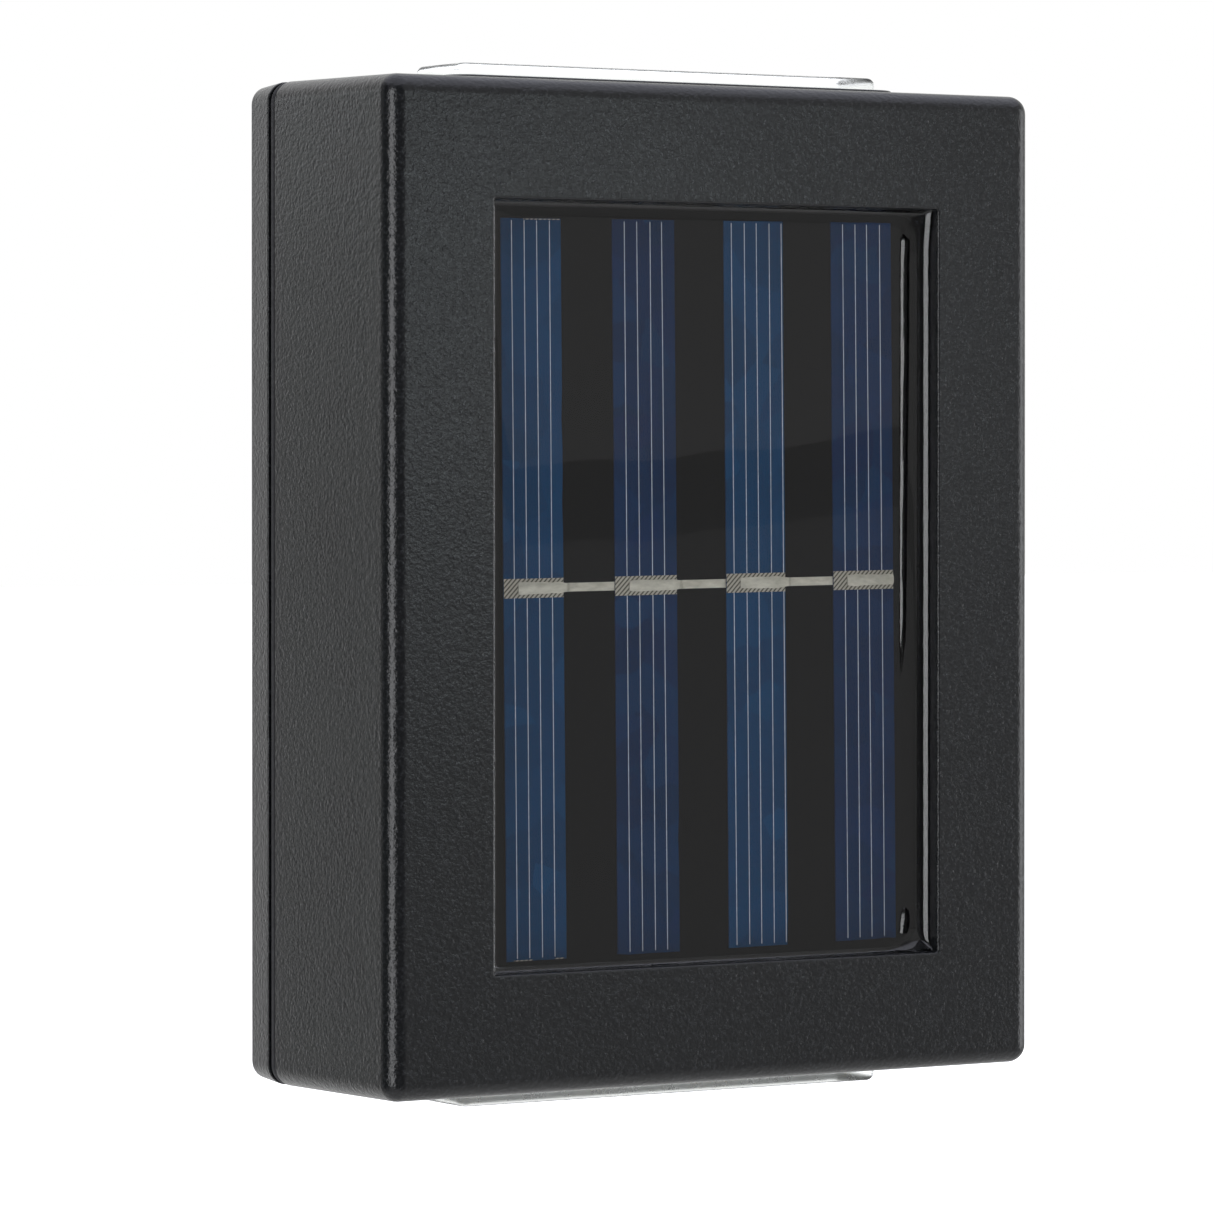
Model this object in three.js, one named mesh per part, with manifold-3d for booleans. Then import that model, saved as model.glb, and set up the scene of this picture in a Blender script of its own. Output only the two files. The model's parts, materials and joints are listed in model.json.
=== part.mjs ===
// Solar up-and-down wall light: a sealed black housing with a potted four-strip solar panel in its
// front and a clear lens in its top and its bottom. It hangs flat on a wall.
// Millimetres. The origin is the centre of the back face, the front looks along -Y and +Z is up.
import * as THREE from 'three';
import { mergeVertices } from 'three/addons/utils/BufferGeometryUtils.js';
import Module from 'manifold-3d';

const wasm = await Module();
wasm.setup();

// Housing
const WIDTH = 82.3;
const HEIGHT = 107.4;
const DEPTH = 30.2;
const DRAFT = 0.36;
const WALL = 2;
const FRONT_WALL = 2.2;
const EDGE_RADIUS = 2;
const CORNER_RADIUS = 2.3;
const CLEARANCE = 0.3;
const FRONT = -DEPTH;
const INNER_X = WIDTH / 2 - DRAFT - WALL;
const INNER_Z = HEIGHT / 2 - DRAFT - WALL;

// The seam: a thin gasket between the front housing and the rear cover
const COVER_DEPTH = 4.5;
const SEAM_GAP = 0.5;
const GASKET_THICKNESS = 0.5;
const COVER_FRONT = -COVER_DEPTH;
const GASKET_BACK = COVER_FRONT - SEAM_GAP;
const GASKET_FRONT = GASKET_BACK - GASKET_THICKNESS;
const SHELL_BACK = GASKET_FRONT - SEAM_GAP;

// The pocket that holds the panel
const WINDOW_WIDTH = 56.3;
const WINDOW_HEIGHT = 81.2;
const POCKET_DEPTH = 5.5;
const POCKET_FLOOR = 1.8;
const POCKET_BACK = FRONT + POCKET_DEPTH;
const TRAY_BACK = POCKET_BACK + POCKET_FLOOR;

// The panel: layers on top of one another, each a bond line apart
const BOND = 0.05;
const ADHESIVE = 0.2;
const PANEL_BOARD = 1;
const RIBBON = 0.1;
const CELL = 0.2;
const RESIN_FRONT = FRONT + 2.5;
const RESIN_CLIMB = 1;
const RESIN_GAP = 0.1;
const ADHESIVE_BACK = POCKET_BACK - BOND;
const PANEL_BOARD_BACK = ADHESIVE_BACK - ADHESIVE - BOND;
const PANEL_BOARD_FRONT = PANEL_BOARD_BACK - PANEL_BOARD;
const RIBBON_UNDER = PANEL_BOARD_FRONT - BOND;
const CELL_BACK = RIBBON_UNDER - RIBBON - BOND;
const CELL_FRONT = CELL_BACK - CELL;
const RIBBON_OVER = CELL_FRONT - BOND;
const POTTING_ROOF = RIBBON_OVER - RIBBON - BOND;
const BOARD_MARGIN = 0.45;
const PANEL_CORNER = 2.5;

// Four hand-cut strips in series, laid by hand and leaning by half a degree
const CELL_WIDTHS = [7.4, 7.8, 7.6, 7.9];
const CELL_HEIGHT = 78.3;
const CELL_PITCH = 14;
const CELLS_CENTRE = -0.5;
const CELLS_LOWERED = 0.2;
const CELLS_LEAN = THREE.MathUtils.degToRad(-0.55);
const RIBBON_WIDTH = 1.2;
const RIBBON_START = 1.8;
const RIBBON_TUCK = 1.2;

// Lens windows in the top and the bottom wall, each inside a low collar
const LENS_CENTRE = -15.55;
const COLLAR_LENGTH = 57;
const COLLAR_DEPTH = 14;
const COLLAR_HEIGHT = 0.3;
const COLLAR_WALL = 1.5;
const COLLAR_CORNER = 2.8;
const LENS_PROUD = 1.7;
const LENS_WALL = 1.6;
const LENS_FLANGE = 1.4;
const FLANGE_OVERLAP = 2;
const LENS_GASKET = 0.8;

// Lamp boards behind the lenses
const LAMP_BOARD_Z = 44;
const LAMP_BOARD_LENGTH = 61;
const LAMP_BOARD_DEPTH = 8.8;
const BOARD_THICKNESS = 1.2;
const LAMP_PITCH = 16;
const LAMPS_PER_BOARD = 3;

// Rear cover: keyhole above the centre and a switch well below it
const COVER_PLATE = 2;
const LIP = 1.2;
const LIP_REACH = 3.6;
const COVER_DRAFT = 0.5;
const KEYHOLE_Z = 29;
const KEYHOLE_HEAD = 8.2;
const KEYHOLE_SLOT = 4.4;
const KEYHOLE_RISE = 7.5;
const SWITCH_Z = -35;
const WELL_LENGTH = 16;
const WELL_HEIGHT = 8;
const WELL_DEPTH = 2.6;
const WELL_FLOOR = 1.2;
const SWITCH_TRAVEL = 2;
const SWITCH_BODY = { length: 8.6, height: 3.8, depth: 3.6 };
const KNOB = { length: 3, height: 2.6, stemLength: 1.5, stemHeight: 1.2 };

// Screws
const SCREW_X = 35.2;
const SCREW_Z = 47.2;
const SCREW_SHANK = 2.3;
const SCREW_LENGTH = 11;
const SCREW_HEAD = 4.8;
const SCREW_HEAD_HEIGHT = 1.6;
const HEAD_SINK = 3.4;
const BOSS = 6.4;
const BOSS_BORE = 3;

// Control board on two bosses behind the panel pocket
const CONTROL = { width: 36, height: 24, z: 11, front: -20.2 };
const CONTROL_SCREWS = [[-14.5, 19.5], [14.5, 2.5]];
const CONTROL_BACK = CONTROL.front + BOARD_THICKNESS;

// Battery: one AA cell lying across the housing
const BATTERY = { diameter: 14.2, length: 49, y: -14.5, z: -16 };
const BUTTON_DIAMETER = 5.4;
const BUTTON_HEIGHT = 1;
const CONTACT_THICKNESS = 0.4;
const CONTACT_WIDTH = 10;
const CONTACT_TALL = 11;
const SPRING_SPACE = 4.6;

// Leads
const LEAD_RADIUS = 0.55;
const LEAD_HOLE = { diameter: 4.8, x: 22, z: 30 };

const BLACK_PLASTIC = { color: 0x34373a, roughness: 0.55, metalness: 0 };
const DARK_RUBBER = { color: 0x4a4c4e, roughness: 0.8, metalness: 0 };
const CLEAR_PLASTIC = { color: 0xdfe6df, roughness: 0.15, metalness: 0 };
const CIRCUIT_BOARD = { color: 0x24513a, roughness: 0.5, metalness: 0 };
const WHITE_BOARD = { color: 0xe9ebe6, roughness: 0.5, metalness: 0 };
const SILICON = { color: 0x303f52, roughness: 0.35, metalness: 0.2 };
const TIN = { color: 0xa8a391, roughness: 0.4, metalness: 0.9 };
const STEEL = { color: 0x9a9da0, roughness: 0.35, metalness: 1 };
const COMPONENT = { color: 0x1f2022, roughness: 0.5, metalness: 0 };
const RED_LEAD = { color: 0xa32020, roughness: 0.5, metalness: 0 };
const BLACK_LEAD = { color: 0x18191a, roughness: 0.5, metalness: 0 };

const part = new THREE.Group();

/** Adds one named sub-part. */
function add(name, geometry, look) {
  const mesh = new THREE.Mesh(geometry, new THREE.MeshStandardMaterial(look));
  mesh.name = name;
  part.add(mesh);
}

/** A closed geometry as a solid that can be joined and cut. */
function solid(geometry) {
  const bare = geometry.clone();
  bare.deleteAttribute('normal');
  bare.deleteAttribute('uv');
  const merged = mergeVertices(bare, 1e-4);
  const mesh = new wasm.Mesh({
    numProp: 3,
    vertProperties: Float32Array.from(merged.attributes.position.array),
    triVerts: Uint32Array.from(merged.index.array),
  });
  return new wasm.Manifold(mesh);
}

/** The geometry of a joined or cut solid. */
function shell(manifold) {
  const mesh = manifold.getMesh();
  const geometry = new THREE.BufferGeometry();
  geometry.setAttribute('position', new THREE.BufferAttribute(mesh.vertProperties, mesh.numProp));
  geometry.setIndex(new THREE.BufferAttribute(mesh.triVerts, 1));
  return geometry;
}

/** Joins the first solid with the added ones and takes the cut ones away. */
function shaped(base, added, cut) {
  let body = solid(base);
  for (const geometry of added) body = body.add(solid(geometry));
  for (const geometry of cut) body = body.subtract(solid(geometry));
  return shell(body);
}

/** A box between two opposite corners. */
function box(x0, y0, z0, x1, y1, z1) {
  const geometry = new THREE.BoxGeometry(x1 - x0, y1 - y0, z1 - z0);
  return geometry.translate((x0 + x1) / 2, (y0 + y1) / 2, (z0 + z1) / 2);
}

/** A rounded rectangle about a centre. */
function roundedRect(width, height, radius, centreX = 0, centreY = 0) {
  const right = width / 2 - radius;
  const top = height / 2 - radius;
  const shape = new THREE.Shape();
  shape.absarc(centreX + right, centreY + top, radius, 0, Math.PI / 2);
  shape.absarc(centreX - right, centreY + top, radius, Math.PI / 2, Math.PI);
  shape.absarc(centreX - right, centreY - top, radius, Math.PI, Math.PI * 1.5);
  shape.absarc(centreX + right, centreY - top, radius, Math.PI * 1.5, Math.PI * 2);
  return shape;
}

/** An outline in X and Z, extruded from yFront to yBack. */
function plate(shape, yFront, yBack, curveSegments = 3) {
  const options = { depth: yBack - yFront, bevelEnabled: false, curveSegments };
  return new THREE.ExtrudeGeometry(shape, options).rotateX(Math.PI / 2).translate(0, yBack, 0);
}

/** An outline in X and Y, extruded from zLow to zHigh. */
function layer(shape, zLow, zHigh, curveSegments = 3) {
  const options = { depth: zHigh - zLow, bevelEnabled: false, curveSegments };
  return new THREE.ExtrudeGeometry(shape, options).translate(0, 0, zLow);
}

/** A cylinder along Y. */
function rod(diameter, x, z, yFront, yBack, sides = 16) {
  const geometry = new THREE.CylinderGeometry(diameter / 2, diameter / 2, yBack - yFront, sides);
  return geometry.translate(x, (yFront + yBack) / 2, z);
}

/** The same geometry mirrored from the top of the light to its bottom. */
function flipped(geometry) {
  return geometry.clone().rotateX(Math.PI).translate(0, 2 * LENS_CENTRE, 0);
}

/** The same form drawn in towards the front by the moulding draft. */
function drafted(geometry) {
  const place = geometry.attributes.position;
  for (let i = 0; i < place.count; i += 1) {
    const share = (place.getY(i) - SHELL_BACK) / (FRONT - SHELL_BACK);
    place.setX(i, place.getX(i) * (1 - (share * DRAFT * 2) / WIDTH));
    place.setZ(i, place.getZ(i) * (1 - (share * DRAFT * 2) / HEIGHT));
  }
  return geometry;
}

/** The outer form of the housing: rounded corners and an evenly rounded front edge. */
function housingBlock() {
  const inset = 2 * EDGE_RADIUS;
  const shape = roundedRect(WIDTH - inset, HEIGHT - inset, CORNER_RADIUS - EDGE_RADIUS);
  const options = {
    depth: DEPTH - inset,
    bevelEnabled: true,
    bevelSize: EDGE_RADIUS,
    bevelThickness: EDGE_RADIUS,
    bevelSegments: 4,
    curveSegments: 3,
  };
  const block = new THREE.ExtrudeGeometry(shape, options).rotateX(Math.PI / 2);
  return drafted(block.translate(0, -EDGE_RADIUS, 0));
}

/** The low collar round a lens window and, as a cut, the window through wall and collar. */
function lensWindow() {
  const length = COLLAR_LENGTH - 2 * COLLAR_WALL;
  const depth = COLLAR_DEPTH - 2 * COLLAR_WALL;
  const corner = COLLAR_CORNER - COLLAR_WALL;
  const top = HEIGHT / 2;
  const collar = roundedRect(COLLAR_LENGTH, COLLAR_DEPTH, COLLAR_CORNER, 0, LENS_CENTRE);
  const opening = roundedRect(length, depth, corner, 0, LENS_CENTRE);
  return {
    collar: layer(collar, top - WALL / 2, top + COLLAR_HEIGHT),
    opening: layer(opening, top - 2 * WALL, top + 2 * COLLAR_HEIGHT),
  };
}

/** A box given by two opposite corners in any order. */
function boxBetween([x0, y0, z0], [x1, y1, z1]) {
  const low = [Math.min(x0, x1), Math.min(y0, y1), Math.min(z0, z1)];
  const high = [Math.max(x0, x1), Math.max(y0, y1), Math.max(z0, z1)];
  return box(...low, ...high);
}

/** Slotted posts that hold the ends of both lamp boards. */
function lampBoardPosts() {
  const end = LAMP_BOARD_LENGTH / 2;
  const front = FRONT + FRONT_WALL / 2;
  const back = LENS_CENTRE + LAMP_BOARD_DEPTH / 2;
  const slotFront = LENS_CENTRE - LAMP_BOARD_DEPTH / 2 - CLEARANCE;
  const low = LAMP_BOARD_Z - CLEARANCE;
  const high = LAMP_BOARD_Z + BOARD_THICKNESS + CLEARANCE;
  const posts = [];
  const slots = [];
  for (const side of [-1, 1]) {
    for (const up of [-1, 1]) {
      const postLow = [side * (end - 2), front, up * (low - 1.5)];
      const postHigh = [side * (end + 1.2), back, up * (high + 1.5)];
      posts.push(boxBetween(postLow, postHigh));
      const slotLow = [side * (end - 3), slotFront, up * low];
      const slotHigh = [side * (end + CLEARANCE), back + 1, up * high];
      slots.push(boxBetween(slotLow, slotHigh));
    }
  }
  return { posts, slots };
}

/** Corner bosses with their ribs, and the screw holes in them. */
function cornerBosses() {
  const bosses = [];
  const bores = [];
  const front = FRONT + FRONT_WALL / 2;
  const back = COVER_FRONT - LIP_REACH - CLEARANCE;
  const ribHalf = 0.7;
  for (const x of [-SCREW_X, SCREW_X]) {
    for (const z of [-SCREW_Z, SCREW_Z]) {
      const wallX = Math.sign(x) * (WIDTH / 2 - WALL / 2);
      const wallZ = Math.sign(z) * (HEIGHT / 2 - WALL / 2);
      bosses.push(rod(BOSS, x, z, front, back));
      bosses.push(boxBetween([x, front, z - ribHalf], [wallX, back, z + ribHalf]));
      bosses.push(boxBetween([x - ribHalf, front, z], [x + ribHalf, back, wallZ]));
      bores.push(rod(BOSS_BORE, x, z, back - SCREW_LENGTH, back + 1, 12));
    }
  }
  return { bosses, bores };
}

/** Bosses for the control board, on the back of the panel pocket. */
function controlBosses() {
  const back = CONTROL.front - CLEARANCE;
  const bosses = CONTROL_SCREWS.map(([x, z]) => rod(5, x, z, TRAY_BACK - 0.5, back, 12));
  const bores = CONTROL_SCREWS.map(([x, z]) => rod(2.2, x, z, TRAY_BACK + 0.2, back + 1, 10));
  return { bosses, bores };
}

/** Two cradle ribs under the battery and a post behind each contact. */
function batteryHolder() {
  const { diameter, length, y, z } = BATTERY;
  const front = FRONT + FRONT_WALL / 2;
  const half = length / 2;
  const ribs = [];
  for (const x of [-15, 15]) {
    ribs.push(box(x - 1, TRAY_BACK - 0.5, z - 9, x + 1, y, z + 9));
  }
  const plusPost = half + BUTTON_HEIGHT + CONTACT_THICKNESS + 2 * CLEARANCE;
  const minusPost = half + SPRING_SPACE + CONTACT_THICKNESS + CLEARANCE;
  ribs.push(box(plusPost, front, z - 6, plusPost + 2, y + 5, z + 6));
  ribs.push(box(-minusPost - 2, front, z - 6, -minusPost, y + 5, z + 6));
  const bed = new THREE.CylinderGeometry(diameter / 2 + CLEARANCE, diameter / 2 + CLEARANCE, 40, 28);
  bed.rotateZ(Math.PI / 2).translate(0, y, z);
  return { ribs, bed };
}

/** The front housing: one moulding that holds everything but the rear cover's own pieces. */
function frontHousing() {
  const trayX = WINDOW_WIDTH / 2 + POCKET_FLOOR;
  const trayZ = WINDOW_HEIGHT / 2 + POCKET_FLOOR;
  const frontInside = FRONT + FRONT_WALL;
  const { collar, opening } = lensWindow();
  const lamp = lampBoardPosts();
  const corner = cornerBosses();
  const control = controlBosses();
  const battery = batteryHolder();

  let body = solid(housingBlock());
  body = body.subtract(solid(box(-WIDTH, SHELL_BACK, -HEIGHT, WIDTH, DEPTH, HEIGHT)));
  body = body.subtract(solid(box(-INNER_X, frontInside, -INNER_Z, INNER_X, DEPTH, INNER_Z)));
  body = body.add(solid(box(-trayX, FRONT + FRONT_WALL / 2, -trayZ, trayX, TRAY_BACK, trayZ)));
  const joined = [
    collar,
    flipped(collar),
    ...lamp.posts,
    ...corner.bosses,
    ...control.bosses,
    ...battery.ribs,
  ];
  for (const geometry of joined) body = body.add(solid(geometry));
  const pocketX = WINDOW_WIDTH / 2;
  const pocketZ = WINDOW_HEIGHT / 2;
  const cuts = [
    box(-pocketX, FRONT - 1, -pocketZ, pocketX, POCKET_BACK, pocketZ),
    rod(LEAD_HOLE.diameter, LEAD_HOLE.x, LEAD_HOLE.z, POCKET_BACK - 1, TRAY_BACK + 1, 16),
    opening,
    flipped(opening),
    ...lamp.slots,
    ...corner.bores,
    ...control.bores,
    battery.bed,
  ];
  for (const geometry of cuts) body = body.subtract(solid(geometry));
  return shell(body);
}

/** The rear cover: a drafted plate with a lip, screw cups, a keyhole and a switch well. */
function rearCover() {
  const inset = 2 * COVER_DRAFT;
  const shape = roundedRect(WIDTH - inset, HEIGHT - inset, CORNER_RADIUS - COVER_DRAFT);
  const taper = COVER_DEPTH - CLEARANCE;
  const options = {
    depth: 1,
    bevelEnabled: true,
    bevelSize: COVER_DRAFT,
    bevelThickness: taper,
    bevelSegments: 3,
    curveSegments: 3,
  };
  const block = new THREE.ExtrudeGeometry(shape, options).rotateX(Math.PI / 2).translate(0, -taper, 0);
  const lipX = INNER_X - CLEARANCE;
  const lipZ = INNER_Z - CLEARANCE;
  const lipFront = COVER_FRONT - LIP_REACH;
  const wellX = WELL_LENGTH / 2;
  const wellZ = WELL_HEIGHT / 2;
  const wellInside = -WELL_DEPTH - WELL_FLOOR;

  let body = solid(block).subtract(solid(box(-WIDTH, -DEPTH, -HEIGHT, WIDTH, COVER_FRONT, HEIGHT)));
  body = body.add(solid(box(-lipX, lipFront, -lipZ, lipX, -COVER_PLATE, lipZ)));
  const innerX = lipX - LIP;
  const innerZ = lipZ - LIP;
  body = body.subtract(solid(box(-innerX, lipFront - 1, -innerZ, innerX, -COVER_PLATE, innerZ)));

  const joined = [
    box(-wellX - LIP, wellInside, SWITCH_Z - wellZ - LIP, wellX + LIP, -1, SWITCH_Z + wellZ + LIP),
    ...switchClips(wellInside),
    ...batteryPads(),
  ];
  const stemX = (SWITCH_TRAVEL + KNOB.stemLength) / 2 + CLEARANCE;
  const stemZ = KNOB.stemHeight / 2 + CLEARANCE;
  const slotTop = KEYHOLE_Z + KEYHOLE_RISE;
  const slotX = KEYHOLE_SLOT / 2;
  const cuts = [
    box(-wellX, -WELL_DEPTH, SWITCH_Z - wellZ, wellX, 1, SWITCH_Z + wellZ),
    box(-stemX, wellInside - 1, SWITCH_Z - stemZ, stemX, 0, SWITCH_Z + stemZ),
    rod(KEYHOLE_HEAD, 0, KEYHOLE_Z, -COVER_PLATE - 1, 1, 24),
    rod(KEYHOLE_SLOT, 0, slotTop, -COVER_PLATE - 1, 1, 20),
    box(-slotX, -COVER_PLATE - 1, KEYHOLE_Z, slotX, 1, slotTop),
  ];
  for (const x of [-SCREW_X, SCREW_X]) {
    for (const z of [-SCREW_Z, SCREW_Z]) {
      joined.push(rod(2 * (lipX - SCREW_X), x, z, lipFront, -1, 24));
      cuts.push(rod(SCREW_HEAD + 2 * CLEARANCE, x, z, -HEAD_SINK, 1, 24));
      cuts.push(rod(SCREW_SHANK + 2 * CLEARANCE, x, z, lipFront - 1, 0, 12));
    }
  }
  for (const geometry of joined) body = body.add(solid(geometry));
  for (const geometry of cuts) body = body.subtract(solid(geometry));
  return shell(body);
}

/** Two bars that hold the switch from above and below. */
function switchClips(wellInside) {
  const near = SWITCH_BODY.height / 2 + CLEARANCE;
  const far = near + 1.2;
  const reach = wellInside - SWITCH_BODY.depth - 2 * CLEARANCE;
  return [
    box(-3, reach, SWITCH_Z + near, 3, wellInside + 0.5, SWITCH_Z + far),
    box(-3, reach, SWITCH_Z - far, 3, wellInside + 0.5, SWITCH_Z - near),
  ];
}

/** Two ribs that keep the battery in its cradle. */
function batteryPads() {
  const reach = BATTERY.y + BATTERY.diameter / 2 + CLEARANCE;
  return [-15, 15].map((x) => {
    return box(x - 1, reach, BATTERY.z - 4, x + 1, -COVER_PLATE + 0.5, BATTERY.z + 4);
  });
}

/** A flat ring between two rounded rectangles, in the seam or under a lens. */
function ringShape(width, height, radius, wall, centreY = 0) {
  const shape = roundedRect(width, height, radius, 0, centreY);
  const inner = Math.max(radius - wall, 0.4);
  shape.holes.push(roundedRect(width - 2 * wall, height - 2 * wall, inner, 0, centreY));
  return shape;
}

/** The clear lens: a hollow crown that rises through the window, on a flange inside the wall. */
function topLens() {
  const length = COLLAR_LENGTH - 2 * COLLAR_WALL - 2 * CLEARANCE;
  const depth = COLLAR_DEPTH - 2 * COLLAR_WALL - 2 * CLEARANCE;
  const corner = COLLAR_CORNER - COLLAR_WALL;
  const edge = 0.8;
  const crownTop = HEIGHT / 2 + LENS_PROUD;
  const flangeTop = INNER_Z - LENS_GASKET - 2 * CLEARANCE;
  const flangeLow = flangeTop - LENS_FLANGE;
  const inset = 2 * edge;
  const crownShape = roundedRect(length - inset, depth - inset, corner - edge, 0, LENS_CENTRE);
  const options = {
    depth: crownTop - flangeLow - LENS_FLANGE / 2 - inset,
    bevelEnabled: true,
    bevelSize: edge,
    bevelThickness: edge,
    bevelSegments: 3,
    curveSegments: 2,
  };
  const crown = new THREE.ExtrudeGeometry(crownShape, options);
  crown.translate(0, 0, flangeLow + LENS_FLANGE / 2 + edge);
  const flangeLength = length + 2 * FLANGE_OVERLAP;
  const flangeDepth = depth + 2 * FLANGE_OVERLAP;
  const flange = roundedRect(flangeLength, flangeDepth, corner, 0, LENS_CENTRE);
  const inside = roundedRect(length - 2 * LENS_WALL, depth - 2 * LENS_WALL, edge, 0, LENS_CENTRE);
  return shaped(
    layer(flange, flangeLow, flangeTop, 2),
    [crown],
    [layer(inside, flangeLow - 1, crownTop - LENS_WALL, 2)],
  );
}

/** The soft ring between the lens flange and the housing wall. */
function topLensGasket() {
  const length = COLLAR_LENGTH - 2 * COLLAR_WALL;
  const depth = COLLAR_DEPTH - 2 * COLLAR_WALL;
  const wall = FLANGE_OVERLAP - CLEARANCE;
  const corner = COLLAR_CORNER - COLLAR_WALL;
  const ring = ringShape(length + 2 * wall, depth + 2 * wall, corner + wall, wall, LENS_CENTRE);
  const high = INNER_Z - CLEARANCE;
  return layer(ring, high - LENS_GASKET, high, 2);
}

/** The lamp board behind the top lens. */
function topLampBoard() {
  const shape = roundedRect(LAMP_BOARD_LENGTH, LAMP_BOARD_DEPTH, 0.6, 0, LENS_CENTRE);
  return layer(shape, LAMP_BOARD_Z, LAMP_BOARD_Z + BOARD_THICKNESS, 1);
}

/** One lamp: a square package with a small dome. */
function topLamp(x) {
  const low = LAMP_BOARD_Z + BOARD_THICKNESS + 2 * BOND;
  const packageTop = low + 1;
  const dome = new THREE.SphereGeometry(1.7, 12, 8).scale(1, 1, 0.55);
  dome.translate(x, LENS_CENTRE, packageTop);
  return shaped(box(x - 2.5, LENS_CENTRE - 2.5, low, x + 2.5, LENS_CENTRE + 2.5, packageTop), [dome], []);
}

/** Lens, gasket, board and lamps at the top, and the same set turned over at the bottom. */
function addLampSets() {
  const places = { top: (geometry) => geometry, bottom: flipped };
  for (const [place, turn] of Object.entries(places)) {
    add(`${place}_lens`, turn(topLens()), CLEAR_PLASTIC);
    add(`${place}_lens_gasket`, turn(topLensGasket()), DARK_RUBBER);
    add(`${place}_lamp_board`, turn(topLampBoard()), WHITE_BOARD);
    for (let i = 0; i < LAMPS_PER_BOARD; i += 1) {
      const x = (i - (LAMPS_PER_BOARD - 1) / 2) * LAMP_PITCH;
      add(`${place}_lamp_${i + 1}`, turn(topLamp(x)), { color: 0xe8d890, roughness: 0.3, metalness: 0 });
    }
  }
}

/** Turns a piece of the string of strips by its lean and lowers it into place. */
function laid(geometry) {
  return geometry.rotateY(CELLS_LEAN).translate(0, 0, -CELLS_LOWERED);
}

/** Left edge of a cell strip, counted from 0 at the left. */
function cellLeft(index) {
  return CELLS_CENTRE + (index - 1.5) * CELL_PITCH - CELL_WIDTHS[index] / 2;
}

/** Right edge of a cell strip. */
function cellRight(index) {
  return cellLeft(index) + CELL_WIDTHS[index];
}

/** One strip of silicon. */
function cell(index) {
  const half = CELL_HEIGHT / 2;
  return laid(box(cellLeft(index), CELL_FRONT, -half, cellRight(index), CELL_BACK, half));
}

/** The tinned ribbon on a strip's middle, which steps down and tucks under the next strip. */
function cellRibbon(index) {
  const overFront = RIBBON_OVER - RIBBON;
  const underFront = RIBBON_UNDER - RIBBON;
  const start = cellLeft(index) + RIBBON_START;
  const bend = cellRight(index) + 2 * CLEARANCE;
  const last = index === CELL_WIDTHS.length - 1;
  const end = last ? cellRight(index) : cellLeft(index + 1) + RIBBON_TUCK;
  const outline = last
    ? [[start, overFront], [end, overFront], [end, RIBBON_OVER], [start, RIBBON_OVER]]
    : [
        [start, overFront],
        [bend + RIBBON, overFront],
        [bend + RIBBON, underFront],
        [end, underFront],
        [end, RIBBON_UNDER],
        [bend, RIBBON_UNDER],
        [bend, RIBBON_OVER],
        [start, RIBBON_OVER],
      ];
  const shape = new THREE.Shape(outline.map(([x, y]) => new THREE.Vector2(x, y)));
  const half = RIBBON_WIDTH / 2;
  return laid(layer(shape, -half, half));
}

/** The outline of a panel layer, held back from the window rim by a margin. */
function panelOutline(margin) {
  return roundedRect(WINDOW_WIDTH - 2 * margin, WINDOW_HEIGHT - 2 * margin, PANEL_CORNER);
}

/** Clear potting that fills the window and climbs its walls, hollowed behind for the strips. */
function panelResin() {
  const back = PANEL_BOARD_FRONT - BOND;
  const halfX = WINDOW_WIDTH / 2 - RESIN_GAP;
  const halfZ = WINDOW_HEIGHT / 2 - RESIN_GAP;
  const slack = 0.12;
  const half = CELL_HEIGHT / 2 + slack;
  const ribbonHalf = RIBBON_WIDTH / 2 + slack;
  const cuts = [resinDish(halfX, halfZ)];
  CELL_WIDTHS.forEach((width, index) => {
    const left = cellLeft(index) - slack;
    const right = cellRight(index) + slack;
    cuts.push(laid(box(left, POTTING_ROOF, -half, right, back + 1, half)));
    if (index < CELL_WIDTHS.length - 1) {
      const next = cellLeft(index + 1);
      cuts.push(laid(box(right - 1, POTTING_ROOF, -ribbonHalf, next, back + 1, ribbonHalf)));
    }
  });
  return shaped(box(-halfX, RESIN_FRONT - RESIN_CLIMB, -halfZ, halfX, back, halfZ), [], cuts);
}

/** The hollow over the resin: flat in the middle and rounded where the resin climbs the walls. */
function resinDish(halfX, halfZ) {
  const shape = roundedRect(2 * (halfX - RESIN_CLIMB), 2 * (halfZ - RESIN_CLIMB), PANEL_CORNER - RESIN_CLIMB);
  const options = {
    depth: 1,
    bevelEnabled: true,
    bevelSize: RESIN_CLIMB,
    bevelThickness: RESIN_CLIMB,
    bevelSegments: 3,
    curveSegments: 3,
  };
  const dish = new THREE.ExtrudeGeometry(shape, options).rotateX(Math.PI / 2);
  return dish.translate(0, RESIN_FRONT - RESIN_CLIMB, 0);
}

/** The potted panel, from the tape behind it to the resin in front. */
function addPanel() {
  const tape = panelOutline(2 * BOARD_MARGIN);
  tape.holes.push(new THREE.Path().absarc(LEAD_HOLE.x, LEAD_HOLE.z, LEAD_HOLE.diameter / 2, 0, Math.PI * 2));
  add('panel_adhesive', plate(tape, ADHESIVE_BACK - ADHESIVE, ADHESIVE_BACK), {
    color: 0xd8d8d0,
    roughness: 0.7,
    metalness: 0,
  });
  const board = plate(panelOutline(BOARD_MARGIN), PANEL_BOARD_FRONT, PANEL_BOARD_BACK);
  add('panel_board', board, { color: 0x2f3032, roughness: 0.5, metalness: 0 });
  CELL_WIDTHS.forEach((width, index) => {
    add(`solar_cell_${index + 1}`, cell(index), SILICON);
    add(`cell_ribbon_${index + 1}`, cellRibbon(index), TIN);
  });
  add('panel_resin', panelResin(), { color: 0x2c2f33, roughness: 0.06, metalness: 0 });
}

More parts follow.
